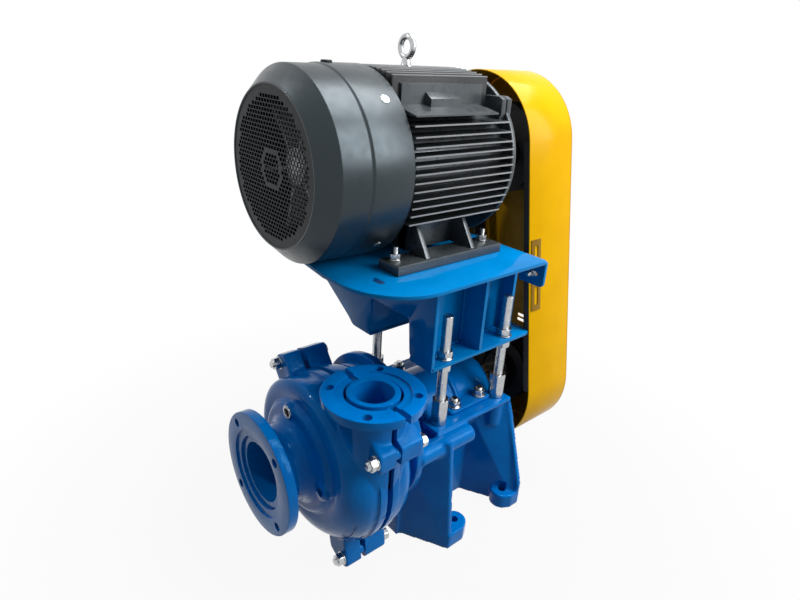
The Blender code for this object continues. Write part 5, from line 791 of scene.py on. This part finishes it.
# %% End shields
for name, face, out, radius in (("drive", 552, 1, 171.5), ("fan", 264, -1, 150)):
    line = [(134, -6), (134, 0.5), (radius, 0.5), (radius, 10), (radius - 5, 16.5),
            (radius - 14, 19.5), (100, 21), (74, 34), (62, 36), (30, 36), (30, 20),
            (55.5, 10.5), (55.5, -18), (73, -18), (73, -6)]
    line = [(reach, face + out * depth) for reach, depth in line]
    make(f"{name}_shield", [turned(line, "Y", MOTOR, 3, 128)], MOTOR_CAST,
         instead=(f"{name}_end_shield",), crease=40)
    print(f"{name}_shield", 2 * radius, "mm wide")

# %% [markdown]
# The belt guard is folded from sheet: a band that runs round both pulleys in one long loop, and
# a plate at the back. The loop is two arcs joined by straight sides. The band is that outline
# carried along Y, with a rounded edge at the open front. Its inside, and the inside of the
# plate, get a darker yellow: painted shade for the shadow that falls inside the guard.

# %% Belt guard
GUARD_LOW, GUARD_HIGH = np.array([0.0, 262.0]), np.array([-99.0, 832.5])
GUARD_R, GUARD_INNER_R = 164.0, 161.2
spine = GUARD_HIGH - GUARD_LOW


def guard_loop(radius, steps=48):
    """Half circles about the two centres; the straight sides lie between them."""
    lean = math.degrees(math.atan2(spine[1], spine[0]))
    return np.concatenate([arc(GUARD_HIGH, radius, lean - 90, lean + 90, steps),
                           arc(GUARD_LOW, radius, lean + 90, lean + 270, steps)])


def band(outer, inner, y_low, y_high, edge):
    """The wall between two loops of equal length, rounded over at its front edge."""
    lip, over = y_low + edge, y_low + 0.3 * edge
    rings = [on_axis("Y", *(outer * (1 - share) + inner * share).T, np.full(len(outer), y))
             for share, y in ((0, y_high), (0, lip), (0.15, over), (0.5, y_low), (0.85, over),
                              (1, lip), (1, y_high))]
    return shell(np.array(rings))


guard = make("belt_guard_band", [band(guard_loop(GUARD_R), guard_loop(GUARD_INNER_R),
                                      630, 780, 1.2)], YELLOW, instead=("belt_guard",))
# Painted shade: the faces on the inside of the band take the darker yellow.
guard.data.materials.append(YELLOW_PAINTED_SHADE)
middles = np.zeros(len(guard.data.polygons) * 3)
guard.data.polygons.foreach_get("center", middles)
middles = (middles.reshape(-1, 3)[:, [0, 2]] - SHIFT[[0, 2]]) / MM - GUARD_LOW
along = np.clip(middles @ spine / np.sum(spine**2), 0, 1)
away = np.linalg.norm(middles - along[:, None] * spine, axis=1)
guard.data.polygons.foreach_set("material_index", (away < GUARD_INNER_R + 0.4).astype(np.int32))
VENTS = ((0, 393), (0, 380), (55, 98), (-55, 98), (55, 393), (-55, 393))
vents = [slab(rounded(box_outline(x - 13, x + 13, z - 4, z + 4), 4), "Y", 770, 800, 0)
         for x, z in VENTS]
back_outside = make("belt_guard_back_plate", [slab(guard_loop(GUARD_R), "Y", 781.4, 782.6, 0.5)],
                    YELLOW)
# The inner layer of the back plate takes the painted shade too.
back_inside = make("belt_guard_back_inside", [slab(guard_loop(160.8), "Y", 780.1, 781.3, 0.3)],
                   YELLOW_PAINTED_SHADE)
cut(back_outside, vents)
cut(back_inside, vents)
print("guard", round(float(np.linalg.norm(spine)) + 2 * GUARD_R), "mm long")

# %% [markdown]
# A slotted strip on the outside of the band ties the guard to the folded lip of the stand, by
# an arm with a bolt. Its two upright slots let the fitter shift the guard when the belts are
# tightened. The slotted strip is dark brown. A dark strip runs along the straight side, just
# inside the open edge.

# %% Guard strip and dark strip
STRIP_LOW, STRIP_HIGH, STRIP_OUT, STRIP_THICK = 490, 653, 3, 2
ARM_X, ARM_Z, LIP_BOLT = (118, 122), (585, 618), (152, 606)
DARK_STRIP_OUTER, DARK_STRIP_INNER = 160.6, 146.5


def guard_edge(z, outwards):
    """X of the +X straight side of the band at a height, moved outwards."""
    middle = GUARD_LOW[0] + spine[0] * (z - GUARD_LOW[1]) / spine[1]
    return middle + (GUARD_INNER_R + outwards) * math.hypot(*spine) / spine[1]


strip = [(guard_edge(z, STRIP_OUT + extra), z) for z, extra in
         ((STRIP_LOW, 0), (STRIP_LOW, STRIP_THICK), (STRIP_HIGH, STRIP_THICK), (STRIP_HIGH, 0))]
# The strip and its arm take the dark brown finish.
bracket = make("guard_strip", [slab(strip, "Y", 635, 669, 0.8),
                               beam(ARM_X, (588.5, 666), ARM_Z, 0.8),
                               beam((118, 152), (588.5, 592.5), ARM_Z, 0.8),
                               beam((118, guard_edge(618, -3)), (662, 666), ARM_Z, 0.8)],
               DARK_BROWN_STRIP, instead=("guard_bracket",))
make("bracket_bolt", [thread("Y", LIP_BOLT, 5, 564, 592, 1.5),
                      hexagon("Y", LIP_BOLT, 14, 571, 578.5),
                      rod("Y", LIP_BOLT, 9.5, 578.5, 579.9, 0.3, 32)], ZINC)
cut(bracket, [slab(rounded(box_outline(646.5, 658.5, z - 21, z + 21), 5.8), "X", 50, 200, 0)
              for z in (524, 618.5)])
# A dark strip with the rubber finish lies along the straight side, inside the open edge.
sideways = np.array([spine[1], -spine[0]]) / math.hypot(*spine)
dark_strip = [centre + sideways * far for centre, far in
        ((GUARD_LOW, DARK_STRIP_OUTER), (GUARD_HIGH, DARK_STRIP_OUTER), (GUARD_HIGH, DARK_STRIP_INNER),
         (GUARD_LOW, DARK_STRIP_INNER))]
make("guard_side_dark_strip", [slab(dark_strip, "Y", 631.2, 634.5, 0.5)], RUBBER)
print("strip", STRIP_HIGH - STRIP_LOW, "mm long, and the trim")

# %% [markdown]
# The stand is flame cut and folded plate, welded up. Its platform has big round front corners,
# an oval slot on each side and a small folded lip at the back.

# %% Platform
PLATFORM = np.concatenate([[(0, 151)], arc((54, 281), 130, 270, 360, 20),
                           arc((172, 576), 12, 0, 90, 6), arc((-342, 576), 12, 90, 180, 6),
                           arc((-274, 263), 80, 180, 270, 12)])


def oval(x, y, length, width):
    """Two half circles joined by straight sides."""
    half, steps = (length - width) / 2, 10
    return np.concatenate([arc((x + half, y), width / 2, -90, 90, steps),
                           arc((x - half, y), width / 2, 90, 270, steps)])


platform = make("stand_platform", [slab(PLATFORM, "Z", 633, 641, 1.2)], BLUE_PLATE_PAINTED_SHEEN,
                instead=("motor_stand",))
cut(platform, [slab(oval(x, 216, 34, 15), "Z", 620, 660, 0) for x in (82, -256.6)])
lip = rounded([(120, 580.5), (183.8, 580.5), (183.8, 638), (120, 638)], [4, 10, 4, 4], 5)
lip_piece = make("stand_lip", [slab(lip, "Y", 580, 588, 1)], BLUE_PLATE_PAINTED_SHEEN)
cut(lip_piece, [slab(oval(*LIP_BOLT, 30, 11), "Y", 570, 600, 0)])
print("platform outline of", len(PLATFORM), "points, and its lip")

# %% [markdown]
# Under it stand two channel-shaped legs on foot plates, behind one broad front web with a notch
# in the middle. Each plate is its own slab, and weld beads lie in the corners between them.

# %% Legs of the stand
front_web = [(134, 634), (-330, 634), (-330, 566.5), (-150, 450.7), (-134, 436), (-74, 436),
             (-66, 444), (-68.5, 528), (58, 529), (66, 450), (80, 436), (134, 436)]
web_corners = [3, 3, 4, 8, 8, 3, 3, 6, 6, 8, 8, 3]
LEG_Z = (440, 636)
foot = rounded(box_outline(66, 134, 321.5, 636), [3, 3, 16, 3], 5)
leg = [beam((66, 74), (325, 594), LEG_Z), slab(foot, "Z", 436, 444, 0.6),
       beam((70, 132.5), (462, 470), LEG_Z), beam((70, 106), (586, 594), LEG_Z)]
leg_shells = [slab(rounded(front_web, web_corners, 5), "Y", 321, 329, 0.6), *both_sides(leg)]
beads = []
for x_in, x_out in ((76.5, 128), (-76.5, -128)):
    beads += [weld((x_in, y, 446), (x_in, y, 630)) for y in (330.5, 460.5, 471.5)]
    beads += [weld((x_in, start, z), (x_in, end, z)) for z in (445.5, 631.5)
              for start, end in ((332, 458), (474, 582))]
    beads.append(weld((x_in, 460.5, 631.5), (x_out, 460.5, 631.5)))
make("stand_legs", leg_shells, BLUE_PLATE_PAINTED_SHEEN)
make("stand_welds", beads, BLUE_PLATE_PAINTED_SHEEN)
print(len(leg_shells), "plates and", len(beads), "beads")

# %% [markdown]
# The casing of the pump is two iron castings bolted face to face with a gap between them. Each
# half fuses a drum, four lugs, half of the discharge neck and, at the front, the suction neck.
# The drum sits off the shaft, as a spiral pump's does, while the dome in front of it is round
# the shaft. So the profile between the two drifts from one centre to the other as it widens.
# The gap is cut after the casting is smoothed, so its edges stay crisp.

# %% Casing helpers
CASING, DISCHARGE = (11.3, 234.4), (131.3, 178.2)
LUG_ANGLES, LUG_CIRCLE = (31.1, 134.5, 214.7, 294.9), 220.3
HOLE_ANGLES, HOLE_CIRCLE = (98.4, -8.0), 103.5
LUG_OUTLINES = (((115, 324), (214, 327), (214, 363.5), (152, 400), (115, 400)),
                ((-85, 372), (-123, 421), (-155, 406), (-164, 363), (-125, 315)),
                ((-85, 130), (-184, 130), (-184, 93.5), (-125, 79), (-85, 79)),
                ((45, 80), (58, 29), (80, 18), (112, 12), (122, 22), (110, 90)))
BOLT_PLACES = [polar(CASING, LUG_CIRCLE, degrees) for degrees in LUG_ANGLES]
HOLE_PLACES = [polar(SHAFT, HOLE_CIRCLE, degrees) for degrees in HOLE_ANGLES]
FRONT_GAP, BACK_GAP = (171.7, 300), (50, 184.7)
discharge_neck = turned([(0, 170), (62, 190), (65.5, 392), (67, 432), (0, 432)], "Z", DISCHARGE, 4)
discharge_bore = rod("Z", DISCHARGE, 56.2, 250, 470)


def lugs(low, high):
    """Each lug is square at its end and runs out into the drum on the side that takes load."""
    return [slab(rounded(outline, 4, 6), "Y", low, high, 3) for outline in LUG_OUTLINES]


def lug_holes(low, high):
    return [rod("Y", place, 10.5, low, high, steps=32) for place in BOLT_PLACES]


def drifting(profile, steps=160):
    """Ring k has its own radius and height, and a centre that share of the way to the drum's."""
    radius, height, share = np.array(profile, float).T
    t = np.linspace(0, 2 * np.pi, steps, endpoint=False)[:, None]
    first = SHAFT[0] + share * (CASING[0] - SHAFT[0]) + radius * np.cos(t)
    second = SHAFT[1] + share * (CASING[1] - SHAFT[1]) + radius * np.sin(t)
    return shell(on_axis("Y", first, second, np.broadcast_to(height, first.shape)))


def casing_half(name, forms, lug_y, gap, hollow, bore, hole_y, node, holes=()):
    """The forms, the neck and the lugs fused; then the gap, the hollow and the holes are cut."""
    piece = cast(name, [*forms, discharge_neck, *lugs(*lug_y)], BLUE_CAST, 2.7, 4, (node,))
    cut(piece, [beam((-300, 300), gap, (0, 600), 0), turned(hollow, "Y", CASING), bore,
                discharge_bore, *lug_holes(*hole_y), *holes], crease=50)


print("lug bolts at", np.round(BOLT_PLACES, 1).tolist())

# %% [markdown]
# The front half carries the dome, a raised ring, the flared neck and two bosses on the dome,
# one with a bright bushing in it.

# %% Casing front
front_dome = [(0, 96, 0), (110, 96.2, 0), (122, 96, 0), (132, 94.2, 0), (142, 93.5, 0),
              (152, 95.5, 0.05), (160, 99.5, 0.12), (166.5, 106, 0.25), (171.5, 115, 0.45),
              (175.5, 126, 0.70), (178, 137, 0.90), (179, 148, 1), (179, 176.5, 1), (0, 176.5, 1)]
front_rim = [(150, 155), (184.5, 155), (184.5, 176.5), (150, 176.5)]
front_ring = [(0, 82), (110, 82), (119, 88), (119, 105), (0, 105)]
front_neck = [(0, 12), (100, 12), (94, 22), (84, 32), (78, 48), (82, 70), (96, 84), (0, 84)]
front_hollow = [(0, 108.5), (155, 108.5), (166, 120), (166, 200), (0, 200)]
bosses, boss_holes = ([rod("Y", place, radius, *run, 40) for place in HOLE_PLACES]
                      for radius, *run in ((17.8, 79, 97, 2), (9.2, 50, 120, 0)))
casing_half("casing_front",
            [drifting(front_dome), turned(front_rim, "Y", CASING, 1),
             turned(front_ring, "Y", SHAFT, 2), turned(front_neck, "Y", SHAFT, 4), *bosses],
            (134, 176.5), FRONT_GAP, front_hollow, rod("Y", SHAFT, 74.8, -20, 120), (100, 200),
            "cover_plate", boss_holes)
make("port_bushing", [rod("Y", HOLE_PLACES[0], 14.5, 78, 96, 0.8, 48, inner=9)], ZINC)

# %% [markdown]
# The back half is the same drum in mirror, closed by a spigot that seats on the base. Round each
# bolt a short spacer holds the gap open. The rims along the gap are turned by themselves, so
# that their edges stay sharp.

# %% Casing back, rims and spacers
back_drum = [(0, 180), (179, 180), (179, 222), (174, 236), (162, 249), (146, 256), (0, 256)]
back_rim = [(150, 180), (184.5, 180), (184.5, 201), (150, 201)]
back_hollow = [(0, 120), (166, 120), (166, 231), (155, 243.5), (0, 243.5)]
casing_half("casing_back",
            [turned(back_drum, "Y", CASING, 3), turned(back_rim, "Y", CASING, 1),
             rod("Y", SHAFT, 150, 240, 269.7, 2)],
            (180, 238.5), BACK_GAP, back_hollow, rod("Y", SHAFT, 72.5, 220, 300), (160, 260),
            "frame_plate")
for name, low, high in (("front", 155.2, 171.6), ("back", 184.8, 201.2)):
    rim = make(f"casing_rim_{name}", [rod("Y", CASING, 184.7, low, high, 1, 160, inner=168)],
               BLUE_CAST)
    cut(rim, [rod("Z", DISCHARGE, 60, 250, 470)])
make("casing_spacers", [rod("Y", place, 12.5, 171.9, 184.5, 0.6, 40, inner=9)
                        for place in BOLT_PLACES], BLUE_CAST)

# %% [markdown]
# The flanges are machined, so they are crisp turned discs set into the rough castings. The
# discharge flange is split by the same gap as the casing; the suction flange is whole and has a
# shallow recess round the liner.

# %% Flanges
BOLT_HOLE_R, SUCTION_BOLTS, DISCHARGE_BOLTS = 9.2, 107, 83.1
suction = [(74.8, 4.5), (90, 4.5), (90, 0), (125.5, 0), (125.5, 20), (90, 22.5), (74.8, 22.5)]
outlet = [(56.2, 428), (99.3, 428), (99.3, 446), (72.5, 446), (72.5, 442.5), (56.2, 442.5)]


def four_holes(axis, centre, across, low, high):
    return [rod(axis, polar(centre, across, 45 + 90 * k), BOLT_HOLE_R, low, high, steps=32)
            for k in range(4)]


suction_flange = make("suction_flange", [turned(suction, "Y", SHAFT, 1.5, 128)], BLUE_CAST)
cut(suction_flange, four_holes("Y", SHAFT, SUCTION_BOLTS, -20, 50))
for half, gap in (("front", FRONT_GAP), ("back", BACK_GAP)):
    flange = make(f"discharge_flange_{half}", [turned(outlet, "Z", DISCHARGE, 1.5, 128)], BLUE_CAST)
    cut(flange, [beam((0, 300), gap, (400, 500), 0),
                 *four_holes("Z", DISCHARGE, DISCHARGE_BOLTS, 400, 470)])
print("one whole flange and one split one")

# %% [markdown]
# Between the halves sits the hard liner: a drum that shows in the parting gap and a spout that
# ends as a ring in the discharge flange. The throat liner lines the suction side.

# %% Liners
drum = [(112, 109), (150, 109), (165.5, 122), (165.5, 230), (150, 242.5), (112, 242.5)]
throat = [(61.3, 9.8), (74.3, 9.8), (74.3, 108.5), (111, 108.5), (111, 138), (61.3, 138)]
make("casing_liner", [turned(drum, "Y", CASING, 3, 128),
                      rod("Z", DISCHARGE, 51, 290, 446, 1.2, inner=39.4)],
     BLUE_CAST, instead=("volute_liner",))
make("throat_liner", [turned(throat, "Y", SHAFT, 1.5, 128)], BLUE_CAST, instead=("throat_bush",))
print("two liners")

# %% [markdown]
# The base is one large casting: a round front flange, four webbed legs set at a slant, two
# rails on top and a trough for the bearing housing. The leg webs are plates through points in
# space, thickened along Y, and the whole is fused and smoothed as a casting.

# %% Base
STUD_X, STUDS_Y, FOOT_HOLE_X, FOOT_HOLES_Y, PLATE = 112, (379, 566), 171.2, (400, 568), 12


def slanted_plate(corners):
    """Two copies of a ring of corners, a plate apart along Y, with sides and fans between."""
    front = np.array(corners, float)
    back = front + np.array([0, PLATE, 0])
    count = len(front)
    sides = [[k, (k + 1) % count, (k + 1) % count + count, k + count] for k in range(count)]
    fans = [[0, k, k + 1] for k in range(1, count - 1)]
    behind = [[count, count + k + 1, count + k] for k in range(1, count - 1)]
    return np.concatenate([front, back]), sides + fans + behind


arch = arc((0, 0), 1, 180, 0, 16) * np.array([64, 42])
arch_web = np.concatenate([[(-99, 0)], arch, [(99, 0), (99, 254), (-99, 254)]])
front_pad = np.concatenate([[(203, 354), (143, 354)],
                            arc((FOOT_HOLE_X, FOOT_HOLES_Y[0]), 28, 180, 35, 12), [(203, 400)]])
rear_pad = np.concatenate([[(143, 599), (203, 599), (203, 568)],
                           arc((FOOT_HOLE_X, FOOT_HOLES_Y[1]), 28, -35, -180, 12)])
near_leg = [(203, 354, 0), (178, 354, 273), (87, 290, 273), (87, 290, 0)]
far_leg = [(203, 587, 0), (203, 587, 62), (137, 587, 273), (66, 509, 273), (66, 509, 0)]
side_shells = [slanted_plate(near_leg), slanted_plate(far_leg),
               beam((66, 78), (298, 521), (0, 273)), beam((88, 142), (350, 592), (271, 283)),
               *[rod("Z", (STUD_X, y), 22, 207, 275, 3, 48) for y in STUDS_Y],
               rod("Y", (150, 254), 22, 285, 440, 1, 48),
               *[slab(pad, "Z", 0, 38.7, 2) for pad in (front_pad, rear_pad)]]
base_shells = [rod("Y", SHAFT, 168, 270, 290, 2, 128), slab(arch_web, "Y", 288, 302),
               beam((-76, 76), (509, 521), (0, 169)), *both_sides(side_shells)]
trough = np.concatenate([arc(SHAFT, 97.5, 168.5, 371.5, 40), arc(SHAFT, 85.5, 371.5, 168.5, 40)])
base_shells.append(slab(trough, "Y", 356, 592, 1.5))
base = cast("base_casting", base_shells, BLUE_CAST, 3.1, 2, ("base_frame",))
foot_holes = both_sides([rod("Z", (FOOT_HOLE_X, y), 9.5, -20, 60, steps=32)
                         for y in FOOT_HOLES_Y])
cut(base, [rod("Y", SHAFT, 72.5, 250, 340), rod("Y", SHAFT, 85.3, 340, 610), *foot_holes,
           beam((-300, 300), (200, 700), (-50, 0), 0),
           beam((-150, 150), (345, 600), (283.1, 330), 0)], crease=50)

# %% [markdown]
# The bearing housing is a plain barrel with side flanges on the rails, closed by a cover at each
# end. The clamp bolts hold it down, so that it can slide along the shaft to set the impeller.

# %% Bearing housing
HOUSING_Y, COVER_SCREWS = (360, 580), 6
wing = slab(rounded(box_outline(70, 116, 415, 546), 10), "Z", 283.3, 293.3, 2)
cast("housing_casting", [rod("Y", SHAFT, 85, *HOUSING_Y, 3, 128, inner=56),
                         rod("Y", SHAFT, 91, 465, 475, 2, 128, inner=60), *both_sides([wing])],
     BLUE_CAST, 2.4, 3, ("bearing_housing",))
for name, face, out in (("front", HOUSING_Y[0], -1), ("rear", HOUSING_Y[1], 1)):
    line = [(reach, face + out * depth) for reach, depth in
            ((33, -8), (55.5, -8), (55.5, 0.3), (78, 0.3), (78, 9), (60, 12.3), (33, 12.3))]
    screw_y = sorted((face + out * 8, face + out * 16))
    screws = [hexagon("Y", polar(SHAFT, 68, 30 + 60 * k), 13, *screw_y)
              for k in range(COVER_SCREWS)]
    make(f"housing_cover_{name}_turned", [turned(line, "Y", SHAFT, 2)], BLUE_CAST,
         instead=(f"housing_cover_{name}",))
    make(f"cover_screws_{name}", screws, ZINC)

# %% [markdown]
# Studs, stand-offs and nuts carry the whole motor stand and are in plain view, and a long bolt
# goes through each pair of lugs. So each has a real thread, and each nut its chamfer and its
# washer. A row of the table gives the thread and then what sits on it, and each number in turn
# is turned a little further, because nuts never stop at one angle.

# %% Studs, bolts and nuts
def four_places(x, low, high, middle=0.0):
    return [(middle + side * x, y) for side in (1, -1) for y in (low, high)]


STUDS = four_places(STUD_X, *STUDS_Y)
SETS = (("casing_bolt_set", "casing_bolt", "Y", BOLT_PLACES, (8, 113.8, 146, 2),
         (rod, 7.8, 140, 240, 0, 32), (hexagon, 24, 119.6, 132.5, 13),
         (rod, 14.5, 132.5, 133.9, 0.4, 40), (hexagon, 24, 238.6, 251.6, 9)),
        ("stud_set", "height_stud", "Z", STUDS, (11.2, 330, 542, 2.5, 0.2),
         (hexagon, 30, 417.2, 432.5, 10), (rod, 18.5, 432.7, 435.7, 0.6, 40),
         (hexagon, 30, 447.5, 463, 25), (rod, 18.5, 444.3, 447.3, 0.6, 40)),
        ("clamp_set", "housing_clamp_bolt", "Z", four_places(98.5, 440, 521),
         (8, 275, 316, 2), (rod, 16, 293.6, 296.6, 0.6, 40), (hexagon, 24, 296.6, 309.6, 20)),
        ("foot_bolt_set", "motor_foot_bolt", "Z", four_places(139.5, 280.5, 521.5, MOTOR_X),
         (6, 630.5, 687, 1.75), (rod, 12, 660.6, 663.1, 0.5, 32),
         (hexagon, 19, 663.1, 673.2, 20), (hexagon, 19, 622.8, 632.4, 0)))
for name, node, axis, places, stem, *parts in SETS:
    for number, place in enumerate(places, 1):
        shells = [thread(axis, place, *stem)]
        for form, *sizes, last in parts:
            last = last * number if form is hexagon else last
            shells.append(form(axis, place, *sizes, last))
        make(f"{name}_{number}", shells, ZINC, instead=(f"{node}_{number}",))
    print(name, "x", len(places))
for number, place in enumerate(STUDS, 1):
    make(f"standoff_hex_{number}", [hexagon("Z", place, 34, 283.3, 345, 15, bore=9.9)], ZINC,
         instead=(f"standoff_{number}",))

# %% [markdown]
# The lifting eye is a forged ring on a collar, made by carrying a round section round a circle.

# %% Lifting eye
EYE_Y, RING_R, RING_STEPS = 401, 18.5, 48
ring = on_axis("Y", *circle((MOTOR_X, MOTOR_Z + 211), RING_R, RING_STEPS).T,
               np.full(RING_STEPS, EYE_Y))
collar = [(0, 976), (7, 976), (7, 991.2), (15.5, 991.2), (15.5, 996.2), (10, 1000), (7, 1015),
          (0, 1015)]
make("lifting_ring", [tube(ring, 5.8, True, 20), turned(collar, "Z", (MOTOR_X, EYE_Y), 1, 48)],
     ZINC, instead=("eye_bolt",), crease=50)
print("ring", 2 * RING_R, "mm across")

# %% [markdown]
# What stays as its solid still gets a finish: rotors, bearings, seal parts and the box for the
# motor leads on the far side.

# %% Finish the solids that stay
STAYING = ((COPPER, "stator"), (PACKING, "gland_packing"), (BLUE_CAST, "stuffing_box gland"),
           (STEEL, "frame_plate_insert pump_bearing_front pump_bearing_rear"),
           (STEEL, "motor_bearing_front motor_bearing_rear pump_shaft impeller shaft_sleeve"),
           (STEEL, "motor_shaft rotor_core"), (RUBBER, "belt_1 belt_2 belt_3"),
           (DARK_IRON, "pump_pulley motor_pulley"), (MOTOR_CAST, "terminal_box terminal_lid"))
for finish, nodes in STAYING:
    for node in nodes.split():
        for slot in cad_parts[node].material_slots:
            slot.material = finish
print("solids with a finish:", sum(len(nodes.split()) for _, nodes in STAYING))

# %% [markdown]
# The studio has a pale floor, which turns to plain white away from the pump so that no horizon
# shows, and an even sky that is white to the camera and in reflections. The sky's own light is
# weaker, so that the colours render about as they are written.

# %% Floor and sky
FLOOR_HALF, WHITE = 8, (1.0, 1.0, 1.0)
floor_mesh = bpy.data.meshes.new("studio_floor")
floor_mesh.from_pydata([(x, y, 0) for x, y in box_outline(-FLOOR_HALF, FLOOR_HALF,
                                                         -FLOOR_HALF, FLOOR_HALF)],
                       [], [(0, 1, 2, 3)])
floor = bpy.data.objects.new("studio_floor", floor_mesh)
bpy.context.collection.objects.link(floor)
pale = Finish("studio_floor")
far = pale.node("ShaderNodeVectorMath", {"operation": "LENGTH"}, {0: pale.place}, "Value")
share = pale.stage_rays() * pale.span(far, 0.45, 1.10, 0.93, 1.0)
glow = pale.node("ShaderNodeEmission", {}, {"Color": WHITE, "Strength": 1.0}, "Emission")
matt = pale.node("ShaderNodeBsdfDiffuse", {}, {"Color": (0.25, 0.25, 0.25)}, "BSDF")
mixed = pale.node("ShaderNodeMixShader", {}, {"Fac": share, 1: matt, 2: glow}, "Shader")
pale.feed(pale.tree.nodes["Material Output"].inputs["Surface"], mixed)
floor_mesh.materials.append(pale.material)
world = bpy.data.worlds.new("studio_sky")
bpy.context.scene.world = world
world.use_nodes = True
sky = Network(world.node_tree)
shade = sky.node("ShaderNodeMix", {"data_type": "RGBA"},
                 {"Factor": sky.stage_rays(), "A": (0.18, 0.19, 0.21), "B": WHITE}, "Result")
background = sky.tree.nodes["Background"]
sky.feed(background.inputs["Color"], shade)
sky.feed(background.inputs["Strength"], 1.0)
print("floor and sky")

# %% [markdown]
# Three lamps light the set, placed in metres from the middle of the floor. Two broad soft ones,
# at the right and above the back, draw the long gradients on the paint, and a small one at the
# left adds the crisp highlights. The plain Standard view keeps the colours as they are.

# %% Lamps
def lamp(name, place, aim, width, height, power):
    data = bpy.data.lights.new(name, "AREA")
    data.shape, data.size, data.size_y, data.energy = "RECTANGLE", width, height, power
    made = bpy.data.objects.new(name, data)
    made.location = Vector(place)
    made.rotation_euler = (Vector(aim) - Vector(place)).to_track_quat("-Z", "Y").to_euler()
    bpy.context.collection.objects.link(made)
    print("lamp", name, power, "W")


lamp("key", (-1.2, -1.3, 2.4), (0.0, 0.0, 0.5), 0.10, 0.10, 12)
lamp("side", (2.0, 1.3, 2.0), (0.0, 0.0, 0.6), 1.2, 1.8, 62)
lamp("top", (0.3, 0.9, 2.9), (0.0, 0.0, 0.6), 1.5, 1.5, 62)
bpy.context.scene.view_settings.view_transform = "Standard"
